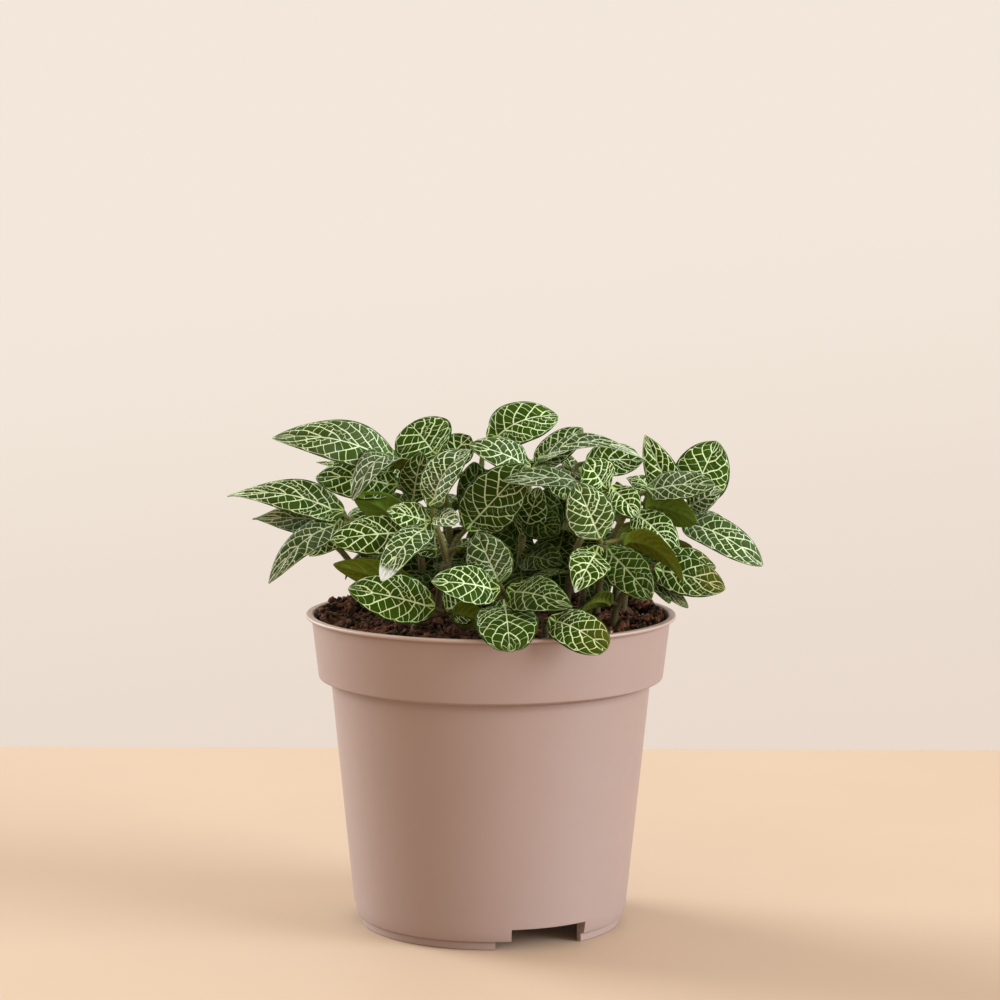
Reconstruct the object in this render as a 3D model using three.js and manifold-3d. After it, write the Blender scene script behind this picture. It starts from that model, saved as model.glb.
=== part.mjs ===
// Potted nerve plant: white-veined leafy shoots standing in peat, in a thin plastic nursery pot.
// Millimetres, +Z up. The origin is on the pot's axis, on the surface it stands on. -Y is the front.

import * as THREE from 'three';
import * as BufferGeometryUtils from 'three/addons/utils/BufferGeometryUtils.js';
import Module from 'manifold-3d';

const wasm = await Module();
wasm.setup();

// Driving dimensions of the pot, a 12 cm nursery pot.
const POT = {
  height: 101,
  rimRadius: 60,
  lipInner: 57.6,
  lipBottom: 99.7,
  bandTop: 58.1,
  bandBottom: 55.8,
  bandBottomHeight: 80.5,
  bodyTop: 51.8,
  bodyTopHeight: 79.2,
  bodyBottom: 44.5,
  stepHeight: 5.6,
  skirtRadius: 43.7,
  skirtHeight: 2.8,
  footRadius: 42.4,
  footInner: 40.6,
  wall: 1.2,
  plateUnder: 7.6,
  plateTop: 8.8,
  sides: 32,
};
const NOTCH = { count: 3, start: 9, sweep: 34, height: 6.9, ringStart: 2.5, ringHeight: 3.1, steps: 4 };
const DRAIN = { count: 6, radius: 3.2, circle: 27, sides: 8 };

// Driving dimensions of the soil, the stems and the blades.
const SOIL = {
  level: 98.2, mound: 3.4, gap: 0.3, rings: 4, edge: 55.9, bank: 1.6, bankFront: -35, bankBack: 5,
};
const STEM = {
  footRadius: 1.45, tipRadius: 0.95, depth: 13, clearance: 0.65, rise: 0.55, steps: 3, sides: 6,
};
const BLADE = {
  thickness: 0.7, stalk: 0.15, stalkHalf: 0.75, tipHalf: 0.35, baseShape: 0.5, tipShape: 0.66,
  rows: [0, 0.12, 0.38, 0.7, 1], pairRows: [0.02, 0.3, 0.68, 1],
};

// How far leaves keep from each other, and how much a leaf may be bent aside for that.
const SPACING = {
  rounds: 90, leafGap: 6.4, stemGap: 5.2, groundGap: 2.6, handShift: 5, fillShift: 16, handShare: 0.3,
  handYield: [0.45, 1.4, 0.45],
};

// A leaf is [stem fraction, tip x, y, z, width, tilt, turn, arch, fold], and may end with its stalk's share
// of its length and with the power by which its tip narrows.
// Tilt is the angle of its face from straight up, turn the direction it faces (-90 is the front),
// arch its bow as a share of its length, and fold the angle that its halves rise to the midrib.
// A pair is two opposite leaves: [stem fraction, direction, length, rise, width].
const SHOOTS = [
  { foot: [-12, -20], tip: [-18, -30, 134.5], leaves: [
    [0.84, -50, -34, 128, 13.5, 62, -95, 0.1, 6, 0.34],
    [0.92, -33.5, -49, 117.5, 12, 60, -110, 0.18, 8],
    [0.95, -32.5, -33, 137.5, 10, 62, -100, 0.1, 6],
    [0.97, -10, -38, 134, 9, 64, -70, 0.2, 20],
    [1.00, -7, -24, 156, 15, 78, -128, 0.24, 22]],
    pairs: [[0.66, 190, 18, -3, 11]] },
  { foot: [24, -12], tip: [37, -22, 144], leaves: [
    [0.97, 29.5, -26, 153, 13.5, 62, -92, 0.12, 8],
    [1.00, 46, -31, 134, 11, 66, -80, 0.16, 8],
    [0.97, 3.5, -31, 147, 11, 34, -100, 0.1, 10]],
    pairs: [[0.70, 80, 19, 0, 11]] },
  { foot: [28, -27], tip: [35, -36, 128], leaves: [
    [0.98, 26.5, -37, 147, 15.5, 80, -90, 0.1, 8],
    [0.94, 26, -48, 114, 14, 72, -98, 0.14, 8, 0.15, 0.95],
    [0.97, 49.5, -47, 112, 14, 70, -84, 0.12, 6],
    [1.00, 60, -38, 116, 13, 52, 50, 0.26, 14]],
    pairs: [[0.55, 195, 19, 0, 13]] },
  { foot: [4, -33], tip: [4, -44, 113.5], leaves: [
    [0.94, -18, -56, 118.5, 13.5, 60, -100, 0.12, 6],
    [0.96, 25.5, -57, 110, 15, 58, -78, 0.12, 6, 0.15, 0.82],
    [1.00, -4.5, -35, 131, 15, 76, -92, 0.06, 10],
    [0.55, 6, -69, 99, 19.5, 44, -90, 0.16, 5, 0.15, 0.42]],
    pairs: [] },
  { foot: [-17, -9], tip: [-10, -18, 128], leaves: [
    [0.98, 11, -22, 151, 18.5, 76, -80, 0.1, 8]],
    pairs: [[0.45, 70, 18, 0, 12], [0.70, 30, 16, 2, 11]] },
  { foot: [-32, -5], tip: [-46, -1, 132], leaves: [
    [0.96, -85, 8, 138, 13.5, 50, -100, 0.2, 10, 0.08, 1.15],
    [0.90, -78, 15, 130, 14, 62, -100, 0.1, 20, 0.08, 1.2],
    [0.94, -71, -13, 112, 12.5, 58, -120, 0.2, 8, 0.12, 0.8],
    [0.92, -59, 2, 119, 9, 60, -100, 0.1, 10, 0.15, 0.8]],
    pairs: [[0.50, 262, 20, -3, 13]] },
  { foot: [-22, 4], tip: [-28, 4, 146], leaves: [
    [1.00, -71, 5, 157, 16, 54, -95, 0.23, 8, 0.08, 0.8],
    [0.84, -58, 3, 143, 15, 60, -100, 0.18, 8],
    [0.94, -44, -16, 139, 13, 50, -120, 0.42, 14],
    [0.50, -46, -5, 137, 13, 62, 80, 0.1, 8],
    [0.75, -22, -8, 151, 12, 74, -95, 0.1, 8]],
    pairs: [[0.60, 100, 22, 4, 12]] },
  { foot: [-13, 17], tip: [-17, 20, 148], leaves: [
    [1.00, -27, 26, 160, 21, 66, -90, 0.14, 10, 0.15, 0.5],
    [0.96, -7, 25, 156, 12, 70, -90, 0.12, 8],
    [0.86, -38, 34, 146, 14, 40, 130, 0.14, 8],
    [0.42, -30, 11, 106, 16, 74, -95, 0.1, 8],
    [0.88, -28, 20, 147, 12, 70, -95, 0.1, 8]],
    pairs: [[0.60, 60, 22, 2, 12]] },
  { foot: [-5, 14], tip: [-3, 18, 151], leaves: [
    [1.00, 22, 22, 163, 18, 58, -110, 0.26, 8],
    [0.60, 5, 4, 107, 17, 74, -90, 0.1, 8],
    [0.42, -17, 8, 106, 16, 74, -95, 0.1, 8],
    [0.50, 14, 24, 121, 13, 76, -88, 0.1, 8],
    [0.55, -9, 12, 149, 13, 76, -90, 0.1, 8]],
    pairs: [] },
  { foot: [43, 3], tip: [63, 4, 134], leaves: [
    [0.86, 86, -10, 120, 14, 52, -75, 0.18, 8],
    [0.99, 73.5, 10, 156, 18.5, 80, -90, 0.08, 8],
    [0.95, 47.5, 11, 156.5, 11.5, 72, -95, 0.1, 14, 0.15, 0.85],
    [1.00, 74, 0, 141, 9, 60, -70, 0.16, 18],
    [0.80, 76, 26, 128, 14, 40, 40, 0.18, 8]],
    pairs: [[0.55, 60, 20, -4, 12]] },
  { foot: [39, -20], tip: [49, -25, 119], leaves: [
    [0.96, 73, -34, 114, 14, 62, -85, 0.14, 8],
    [1.00, 71, -17, 118.5, 12, 58, -70, 0.14, 8],
    [0.84, 62, -30, 107, 8, 40, -60, 0.1, 8],
    [0.35, 25, -43, 108, 11, 55, 100, 0.1, 8]],
    pairs: [] },
  { foot: [-24, -29], tip: [-14, -38, 106.5], leaves: [
    [0.98, -44, -46, 115, 16, 64, -95, 0.1, 10],
    [0.88, -49, -30, 121.5, 13, 56, 110, 0.12, 12],
    [1.00, -1, -41, 102, 11, 60, 80, 0.1, 10],
    [0.92, -5, -33, 110, 14, 62, -85, 0.1, 8]],
    pairs: [] },
  { foot: [17, -41], tip: [17, -50, 105.5], leaves: [
    [0.98, 35, -65, 98.5, 14.5, 56, -85, 0.18, 8, 0.12, 0.45]],
    pairs: [] },
  { foot: [34, -7], tip: [48, -6, 141], leaves: [
    [0.97, 71, -13, 144, 13, 44, -85, 0.1, 8],
    [0.84, 56.5, -19, 124.5, 13, 64, -80, 0.16, 8],
    [0.90, 67, -8, 129.5, 14, 58, 75, 0.12, 12]],
    pairs: [[0.50, 100, 18, 0, 11], [0.72, 290, 18, -2, 12]] },
  { foot: [-41, 13], tip: [-58, 20, 126], leaves: [],
    pairs: [[0.75, 190, 22, -2, 14], [0.96, 120, 20, 4, 12]] },
  { foot: [-28, 24], tip: [-40, 36, 138], leaves: [],
    pairs: [[0.50, 175, 18, -6, 13], [0.76, 250, 24, 2, 15], [0.97, 160, 20, 6, 12]] },
  { foot: [-14, 33], tip: [-18, 46, 139], leaves: [],
    pairs: [[0.45, 125, 22, -6, 14], [0.70, 60, 26, 0, 15], [0.92, 150, 22, 4, 13]] },
  { foot: [8, 31], tip: [10, 43, 145], leaves: [],
    pairs: [[0.45, 20, 24, -6, 14], [0.68, 110, 26, 0, 15], [0.92, 20, 22, 4, 13]] },
  { foot: [25, 24], tip: [33, 34, 143], leaves: [],
    pairs: [[0.50, 110, 21, -5, 13], [0.70, 15, 24, 0, 15], [0.92, 100, 20, 5, 13]] },
  { foot: [41, 20], tip: [56, 31, 133], leaves: [],
    pairs: [[0.50, 120, 24, -6, 14], [0.75, 30, 22, -2, 14], [0.96, 120, 20, 4, 11]] },
  { foot: [-3, 45], tip: [-4, 52, 121], leaves: [],
    pairs: [[0.60, 0, 22, -6, 13], [0.90, 90, 18, -2, 12]] },
  { foot: [27, 40], tip: [31, 47, 121], leaves: [],
    pairs: [[0.60, 330, 22, -6, 13], [0.90, 60, 18, 0, 12]] },
  { foot: [-30, 39], tip: [-37, 46, 120], leaves: [],
    pairs: [[0.60, 80, 18, -6, 13], [0.90, 170, 18, 0, 12]] },
  { foot: [23, 9], tip: [28, 10, 149], leaves: [
    [0.98, 50, 7, 149, 12, 62, -85, 0.12, 8],
    [0.52, 38, -3, 106, 17, 74, -85, 0.1, 8],
    [0.56, 18, 1, 106, 17, 76, -92, 0.1, 8],
    [0.72, 14, 10, 134, 12.5, 76, -92, 0.1, 8]],
    pairs: [[0.62, 130, 22, 0, 12], [0.85, 75, 19, 3, 12]] },
  { foot: [9, -1], tip: [13, 3, 147], leaves: [
    [0.66, 26, -10, 130, 13, 66, -85, 0.1, 8],
    [0.36, 26, -15, 118, 13, 62, -80, 0.1, 8],
    [0.50, 16, -9, 143, 11.5, 76, -90, 0.08, 8],
    [0.30, 11, -19, 106, 15, 75, -88, 0.08, 10],
    [0.97, -7, -7, 156, 12, 58, -100, 0.2, 10],
    [1.00, 50, 4, 150, 9, 30, -80, 0.26, 12, 0.08, 1],
    [0.95, 30, 14, 157.5, 11, 60, -100, 0.12, 8]],
    pairs: [] },
];

const radians = THREE.MathUtils.degToRad;
const vector = (x, y, z) => new THREE.Vector3(x, y, z);

// Numbers from 0 to 1 in an order that a seed fixes.
function drawer(seed) {
  let state = seed;
  return () => {
    state = (Math.imul(state, 1664525) + 1013904223) >>> 0;
    return state / 4294967296;
  };
}

// Height of the peat: a level, a mound that is higher at the back, a bank against the back of the rim, and
// lumps a centimetre or two wide.
function soilHeight(x, y) {
  const inward = 1 - (x * x + y * y) / (SOIL.edge * SOIL.edge);
  const mound = SOIL.mound * (Math.max(inward, 0) + (0.55 * y) / SOIL.edge);
  const behind = THREE.MathUtils.smoothstep(y, SOIL.bankFront, SOIL.bankBack);
  const bank = SOIL.bank * (1 - Math.max(inward, 0)) ** 2 * behind;
  const lumps = Math.sin(0.31 * x + 1.3) * Math.sin(0.27 * y + 0.4) + 0.6 * Math.sin(0.52 * x - 0.44 * y);
  return SOIL.level + mound + bank + 0.7 * lumps;
}

// A point on the shoot's stem, from the soil (0) to the growing tip (1): up first, then leaning out.
function stemPoint(shoot, at) {
  const [x, y] = shoot.foot;
  const foot = vector(x, y, soilHeight(x, y));
  const tip = vector(...shoot.tip);
  const bend = vector(x, y, THREE.MathUtils.lerp(foot.z, tip.z, STEM.rise));
  return new THREE.QuadraticBezierCurve3(foot, bend, tip).getPoint(at);
}

// The leaves of a shoot, those placed one by one and then its opposite pairs.
function leavesOf(shoot, index) {
  const draw = drawer(1000 + index);
  const placed = shoot.leaves.map(([at, x, y, z, width, tilt, turn, arch, fold, stalk, taper]) => ({
    index, node: -1, width, arch, fold, stalk: stalk ?? BLADE.stalk, taper: taper ?? BLADE.tipShape,
    limit: SPACING.handShift, share: SPACING.handShare, yield: vector(...SPACING.handYield),
    base: stemPoint(shoot, at), tip: vector(x, y, z), face: facing(tilt, turn), wave: draw() * 2 * Math.PI,
  }));
  const paired = shoot.pairs.flatMap(([at, direction, length, rise, width], pair) => [0, 180].map((half) => {
    const turn = direction + half + 24 * (draw() - 0.5);
    const reach = length * (0.86 + 0.28 * draw());
    const lift = rise + 7 * (draw() - 0.4);
    const base = stemPoint(shoot, at);
    const out = vector(Math.cos(radians(turn)), Math.sin(radians(turn)), 0);
    return {
      index, node: pair, width: width * (0.9 + 0.2 * draw()), arch: 0.12 + 0.1 * draw(), fold: 8,
      stalk: BLADE.stalk, taper: BLADE.tipShape,
      limit: SPACING.fillShift, share: 1 - SPACING.handShare, yield: vector(1, 1, 1), base,
      tip: base.clone().addScaledVector(out, reach).add(vector(0, 0, lift)),
      face: facing(22 + 26 * draw(), turn), wave: draw() * 2 * Math.PI,
    };
  }));
  return [...placed, ...paired];
}

// The direction that a leaf's face looks in.
function facing(tilt, turn) {
  const [a, b] = [radians(tilt), radians(turn)];
  return vector(Math.sin(a) * Math.cos(b), Math.sin(a) * Math.sin(b), Math.cos(a));
}

// The curve and the cross directions of a leaf: its midrib bows towards its face.
function frameOf(leaf) {
  const chord = leaf.tip.clone().sub(leaf.base);
  const length = chord.length();
  const along = chord.clone().divideScalar(length);
  const up = leaf.face.clone().addScaledVector(along, -leaf.face.dot(along)).normalize();
  const side = up.clone().cross(along);
  const bend = leaf.base.clone().addScaledVector(chord, 0.45).addScaledVector(up, 2 * leaf.arch * length);
  return { length, side, midrib: new THREE.QuadraticBezierCurve3(leaf.base, bend, leaf.tip) };
}

// Half the leaf's width at fraction s of its length: a thin stalk, then an oval that ends in a point.
function halfWidth(leaf, s) {
  const u = THREE.MathUtils.clamp((s - leaf.stalk) / (1 - leaf.stalk), 0, 1);
  const [a, b] = [BLADE.baseShape, leaf.taper];
  const widest = a / (a + b);
  const oval = (u ** a * (1 - u) ** b) / (widest ** a * (1 - widest) ** b);
  const stalk = THREE.MathUtils.lerp(BLADE.stalkHalf, BLADE.tipHalf, s);
  return Math.max((oval * leaf.width) / 2, stalk);
}

// A point of the blade: s runs from stalk to tip, t from one margin (-1) through the midrib to the other (1).
// The halves rise from the midrib by the fold, roll down towards the margin, and wave a little along it.
function bladePoint(leaf, frame, s, t, lift) {
  const half = halfWidth(leaf, s);
  const tangent = frame.midrib.getTangent(s);
  const up = tangent.cross(frame.side).normalize();
  const inBlade = THREE.MathUtils.smoothstep(s, leaf.stalk, leaf.stalk + 0.2);
  const fold = radians(leaf.fold) * inBlade;
  const wave = 0.07 * Math.sin(9 * s + leaf.wave + (t > 0 ? 1.7 : 0)) * t * t;
  const rise = half * (Math.sin(fold) * Math.abs(t) + (wave - 0.16 * t * t) * inBlade);
  return frame.midrib.getPoint(s).addScaledVector(frame.side, half * t * Math.cos(fold)).addScaledVector(up, rise + lift);
}

// Bends leaves aside until each keeps its distance from the others, from the stems, the soil and the rim.
// A leaf's root stays on its stem and its tip moves. Leaves of one pair, or placed one by one on one stem,
// don't push each other, and those placed one by one give way more in depth than sideways.
function spread(leaves) {
  const rows = [0.3, 0.44, 0.58, 0.72, 0.86, 1];
  const columns = [-0.8, 0, 0.8];
  const stems = SHOOTS.map((shoot) => {
    const count = Math.ceil((shoot.tip[2] - SOIL.level) / 3);
    return Array.from({ length: count + 1 }, (_, k) => stemPoint(shoot, k / count));
  });
  const home = leaves.map((leaf) => leaf.tip.clone());
  for (let round = 0; round < SPACING.rounds; round++) {
    const pushes = leaves.map(() => vector(0, 0, 0));
    const samples = leaves.map((leaf) => {
      const frame = frameOf(leaf);
      return rows.flatMap((s) => columns.map((t) => ({ s, at: bladePoint(leaf, frame, s, t, 0) })));
    });
    leaves.forEach((leaf, i) => {
      for (let j = i + 1; j < leaves.length; j++) {
        const other = leaves[j];
        if (leaf.index === other.index && leaf.node === other.node) continue;
        const reach = (leaf.tip.distanceTo(leaf.base) + other.tip.distanceTo(other.base)) * 0.75 + SPACING.leafGap;
        if (samples[i][7].at.distanceTo(samples[j][7].at) > reach) continue;
        pushApart(leaf, other, samples[i], samples[j], pushes[i], pushes[j]);
      }
      stems.forEach((points, k) => {
        for (const sample of samples[i]) {
          if (k === leaf.index && sample.s < 0.5) continue;
          for (const point of points) pushFrom(sample, point, SPACING.stemGap, pushes[i]);
        }
      });
      for (const sample of samples[i]) pushUp(sample, pushes[i]);
    });
    leaves.forEach((leaf, i) => {
      leaf.tip.add(pushes[i].multiply(leaf.yield).clampLength(0, 1.2));
      leaf.tip.sub(home[i]).clampLength(0, leaf.limit).add(home[i]);
    });
  }
}

function pushApart(leaf, other, samples, others, push, otherPush) {
  const away = vector(0, 0, 0);
  const own = leaf.share / (leaf.share + other.share);
  for (const a of samples) {
    for (const b of others) {
      away.subVectors(a.at, b.at);
      const distance = away.length();
      if (distance >= SPACING.leafGap || distance < 1e-6) continue;
      const strength = (0.12 * (SPACING.leafGap - distance)) / distance;
      push.addScaledVector(away, strength * own * a.s);
      otherPush.addScaledVector(away, -strength * (1 - own) * b.s);
    }
  }
}

function pushFrom(sample, point, gap, push) {
  const away = sample.at.clone().sub(point);
  const distance = away.length();
  if (distance < gap && distance > 1e-6) {
    push.addScaledVector(away, (0.3 * (gap - distance) * sample.s) / distance);
  }
}

// Lifts a leaf off the soil and over the rim of the pot.
function pushUp(sample, push) {
  const { x, y, z } = sample.at;
  const radius = Math.hypot(x, y);
  if (radius > POT.rimRadius + SPACING.groundGap) return;
  const ground = radius < SOIL.edge - 2 ? soilHeight(x, y) : POT.height;
  const short = ground + SPACING.groundGap - z;
  if (short > 0) push.z += 0.25 * short * sample.s;
}

// A closed thin shell over a grid of rows and columns. Both faces are split along the same diagonals.
function shell(rows, columns, point) {
  const positions = [];
  const index = [];
  const id = (layer, r, c) => (layer * rows + r) * columns + c;
  for (let layer = 0; layer < 2; layer++) {
    for (let r = 0; r < rows; r++) {
      for (let c = 0; c < columns; c++) positions.push(...point(layer, r, c).toArray());
    }
  }
  const quad = (a, b, c, d) => index.push(a, b, c, a, c, d);
  for (let r = 0; r + 1 < rows; r++) {
    for (let c = 0; c + 1 < columns; c++) {
      quad(id(1, r, c), id(1, r + 1, c), id(1, r + 1, c + 1), id(1, r, c + 1));
      index.push(id(0, r, c), id(0, r + 1, c + 1), id(0, r + 1, c));
      index.push(id(0, r, c), id(0, r, c + 1), id(0, r + 1, c + 1));
    }
    quad(id(0, r, 0), id(0, r + 1, 0), id(1, r + 1, 0), id(1, r, 0));
    quad(id(1, r, columns - 1), id(1, r + 1, columns - 1), id(0, r + 1, columns - 1), id(0, r, columns - 1));
  }
  for (let c = 0; c + 1 < columns; c++) {
    quad(id(1, 0, c), id(1, 0, c + 1), id(0, 0, c + 1), id(0, 0, c));
    quad(id(0, rows - 1, c), id(0, rows - 1, c + 1), id(1, rows - 1, c + 1), id(1, rows - 1, c));
  }
  return meshOf(positions, index);
}

// A closed round bar through a list of points, with a radius at each.
function bar(points, radii, sides) {
  const positions = [];
  const index = [];
  points.forEach((point, k) => {
    const tangent = points[Math.min(k + 1, points.length - 1)].clone().sub(points[Math.max(k - 1, 0)]).normalize();
    const across = vector(0, 1, 0).cross(tangent).normalize();
    const over = tangent.clone().cross(across);
    for (let i = 0; i < sides; i++) {
      const angle = (2 * Math.PI * i) / sides;
      const spoke = across.clone().multiplyScalar(Math.cos(angle)).addScaledVector(over, Math.sin(angle));
      positions.push(...point.clone().addScaledVector(spoke, radii[k]).toArray());
    }
  });
  const last = (points.length - 1) * sides;
  for (let k = 0; k + 1 < points.length; k++) {
    for (let i = 0; i < sides; i++) {
      const [a, b] = [k * sides + i, k * sides + ((i + 1) % sides)];
      index.push(a, b, b + sides, a, b + sides, a + sides);
    }
  }
  for (let i = 1; i + 1 < sides; i++) index.push(0, i + 1, i, last, last + i, last + i + 1);
  return meshOf(positions, index);
}

function meshOf(positions, index) {
  const geometry = new THREE.BufferGeometry();
  geometry.setAttribute('position', new THREE.Float32BufferAttribute(positions, 3));
  geometry.setIndex(index);
  return geometry;
}

// Turns a closed geometry into a solid that can be cut and joined, and back.
function solid(geometry) {
  const bare = geometry.clone();
  bare.deleteAttribute('normal');
  bare.deleteAttribute('uv');
  const merged = BufferGeometryUtils.mergeVertices(bare, 1e-4);
  return new wasm.Manifold(new wasm.Mesh({
    numProp: 3,
    vertProperties: new Float32Array(merged.attributes.position.array),
    triVerts: new Uint32Array(merged.index.array),
  }));
}

function geometryOf(body) {
  const mesh = body.getMesh();
  return meshOf(mesh.vertProperties, Array.from(mesh.triVerts));
}

// Turns a profile of radius and height, from the axis round to the axis, about Z.
function turned(profile, sides) {
  const points = profile.map(([radius, height]) => new THREE.Vector2(radius, height));
  return new THREE.LatheGeometry(points, sides).rotateX(Math.PI / 2);
}

// A flat ring sector from one angle to another, in degrees, used as a cutter.
function sector(inner, outer, start, end, bottom, top) {
  const shape = new THREE.Shape();
  shape.absarc(0, 0, outer, radians(start), radians(end), false);
  shape.absarc(0, 0, inner, radians(end), radians(start), true);
  const options = { depth: top - bottom, bevelEnabled: false, curveSegments: NOTCH.steps };
  return new THREE.ExtrudeGeometry(shape, options).translate(0, 0, bottom);
}

function potGeometry() {
  const p = POT;
  const profile = [
    [0, p.plateUnder], [p.footInner, p.plateUnder], [p.footInner, 0], [p.footRadius, 0],
    [p.footRadius, p.skirtHeight], [p.skirtRadius, p.skirtHeight], [p.bodyBottom, p.stepHeight],
    [p.bodyTop, p.bodyTopHeight], [p.bandBottom, p.bandBottomHeight],
    [p.bandTop, p.lipBottom], [p.rimRadius, p.lipBottom + 0.25], [p.rimRadius - 0.2, p.height],
    [p.lipInner, p.height], [p.bandTop - p.wall, p.lipBottom - 1.2],
    [p.bandBottom - p.wall, p.bandBottomHeight + 0.9], [p.bodyTop - p.wall, p.bodyTopHeight + 1.3],
    [p.bodyBottom - p.wall + 0.2, p.plateTop], [0, p.plateTop],
  ];
  let body = solid(turned(profile, p.sides));
  for (let k = 0; k < NOTCH.count; k++) {
    const front = -90 + (k * 360) / NOTCH.count;
    const [ring, start] = [front + NOTCH.ringStart, front + NOTCH.start];
    const skirtCut = sector(p.footInner - 3, p.bodyBottom + 3, start, start + NOTCH.sweep, -1, NOTCH.height);
    const ringCut = sector(p.footInner - 3, p.footRadius + 0.3, ring, start + 4, -1, NOTCH.ringHeight);
    body = body.subtract(solid(skirtCut)).subtract(solid(ringCut));
  }
  for (let k = 0; k < DRAIN.count; k++) {
    const angle = (2 * Math.PI * k) / DRAIN.count;
    const hole = new THREE.CylinderGeometry(DRAIN.radius, DRAIN.radius, 6, DRAIN.sides).rotateX(Math.PI / 2);
    hole.translate(DRAIN.circle * Math.cos(angle), DRAIN.circle * Math.sin(angle), p.plateTop);
    body = body.subtract(solid(hole));
  }
  return geometryOf(body);
}

// The peat fills the pot, a little clear of its wall, with a plain hole for each stem.
function soilGeometry() {
  const clear = POT.wall + SOIL.gap;
  const bottom = POT.plateTop + SOIL.gap;
  const slope = (POT.bodyTop - POT.bodyBottom) / (POT.bodyTopHeight - POT.stepHeight);
  const bottomRadius = POT.bodyBottom + slope * (bottom - POT.stepHeight) - clear;
  const profile = [[0, bottom], [bottomRadius, bottom], [POT.bodyTop - clear, POT.bodyTopHeight + 1.6]];
  profile.push([POT.bandBottom - clear - 0.7, POT.bandBottomHeight + 1.5], [SOIL.edge, SOIL.level]);
  for (let k = SOIL.rings - 1; k >= 0; k--) profile.push([(SOIL.edge * k) / SOIL.rings, SOIL.level]);
  const lathe = turned(profile, POT.sides);
  const position = lathe.attributes.position;
  for (let i = 0; i < position.count; i++) {
    const [x, y, z] = [position.getX(i), position.getY(i), position.getZ(i)];
    if (z > SOIL.level - 0.01) position.setZ(i, soilHeight(x, y));
  }
  let body = solid(lathe);
  for (const shoot of SHOOTS) {
    const [x, y] = shoot.foot;
    const radius = STEM.footRadius + STEM.clearance;
    const hole = new THREE.CylinderGeometry(radius, radius, STEM.depth + 12, STEM.sides).rotateX(Math.PI / 2);
    const low = soilHeight(x, y) - STEM.depth - SOIL.gap;
    body = body.subtract(solid(hole.translate(x, y, low + (STEM.depth + 12) / 2)));
  }
  return geometryOf(body);
}

function stemGeometry(shoot) {
  const [x, y] = shoot.foot;
  const points = [vector(x, y, soilHeight(x, y) - STEM.depth)];
  const radii = [STEM.footRadius];
  for (let k = 0; k <= STEM.steps; k++) {
    points.push(stemPoint(shoot, k / STEM.steps));
    radii.push(THREE.MathUtils.lerp(STEM.footRadius, STEM.tipRadius, k / STEM.steps));
  }
  return bar(points, radii, STEM.sides);
}

// A leaf placed one by one has a row of points more than a leaf of a pair.
function leafGeometry(leaf) {
  const blade = leaf.node < 0 ? BLADE.rows : BLADE.pairRows;
  const rows = [0, ...blade.map((u) => THREE.MathUtils.lerp(leaf.stalk, 1, u))];
  const frame = frameOf(leaf);
  return shell(rows.length, 3, (layer, r, c) => (
    bladePoint(leaf, frame, rows[r], c - 1, (layer - 0.5) * BLADE.thickness)
  ));
}

function shootGeometry(shoot, leaves) {
  const parts = [solid(stemGeometry(shoot)), ...leaves.map((leaf) => solid(leafGeometry(leaf)))];
  return geometryOf(wasm.Manifold.union(parts));
}

const finish = (color, roughness) => new THREE.MeshStandardMaterial({ color, roughness, metalness: 0 });
const POT_PLASTIC = finish(0xb39a8b, 0.6);
const PEAT = finish(0x3a2619, 0.95);
const LEAF_GREEN = finish(0x3f6f33, 0.45);

const plant = new THREE.Group();

function add(name, geometry, material) {
  const mesh = new THREE.Mesh(geometry, material);
  mesh.name = name;
  plant.add(mesh);
}

add('pot', potGeometry(), POT_PLASTIC);
add('soil', soilGeometry(), PEAT);

const leaves = SHOOTS.flatMap(leavesOf);
spread(leaves);
SHOOTS.forEach((shoot, index) => {
  const own = leaves.filter((leaf) => leaf.index === index);
  add(`shoot_${String(index + 1).padStart(2, '0')}`, shootGeometry(shoot, own), LEAF_GREEN);
});

export default plant;
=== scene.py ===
"""A potted nerve plant: veined leaves on hairy stems, loose peat, and a matt taupe nursery pot.

Lengths are millimetres until a mesh is made, and a mesh is in metres. -Y is the front.
"""

import math
from functools import partial

import bpy
import numpy as np
from mathutils import Matrix, Vector


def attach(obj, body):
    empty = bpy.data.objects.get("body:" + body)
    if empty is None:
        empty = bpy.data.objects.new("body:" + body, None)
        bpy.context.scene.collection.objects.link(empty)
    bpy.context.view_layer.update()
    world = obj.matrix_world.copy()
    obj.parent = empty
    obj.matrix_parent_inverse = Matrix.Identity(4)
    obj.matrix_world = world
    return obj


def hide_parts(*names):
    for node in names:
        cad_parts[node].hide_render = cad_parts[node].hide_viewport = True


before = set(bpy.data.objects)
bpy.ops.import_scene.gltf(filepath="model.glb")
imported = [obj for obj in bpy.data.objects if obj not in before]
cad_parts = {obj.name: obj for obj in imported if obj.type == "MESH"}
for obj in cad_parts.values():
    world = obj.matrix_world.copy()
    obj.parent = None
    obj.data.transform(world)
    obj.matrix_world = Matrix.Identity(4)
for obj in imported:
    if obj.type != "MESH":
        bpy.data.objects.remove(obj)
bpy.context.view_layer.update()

MM = 0.001

# The pot, as in the frame.
POT = dict(
    height=101.0, rim_radius=60.0, lip_inner=57.6, lip_bottom=99.7, band_top=58.1, band_bottom=55.8,
    band_bottom_height=80.5, body_top=51.8, body_top_height=79.2, body_bottom=44.5, step_height=5.6,
    skirt_radius=43.7, skirt_height=2.8, foot_radius=42.4, foot_inner=40.6, wall=1.2,
    plate_under=7.6, plate_top=8.8,
)
NOTCH = dict(count=3, start=9.0, sweep=34.0, height=6.9, ring_start=2.5, ring_height=3.1)
DRAIN = dict(count=6, radius=3.2, circle=27.0)

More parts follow.
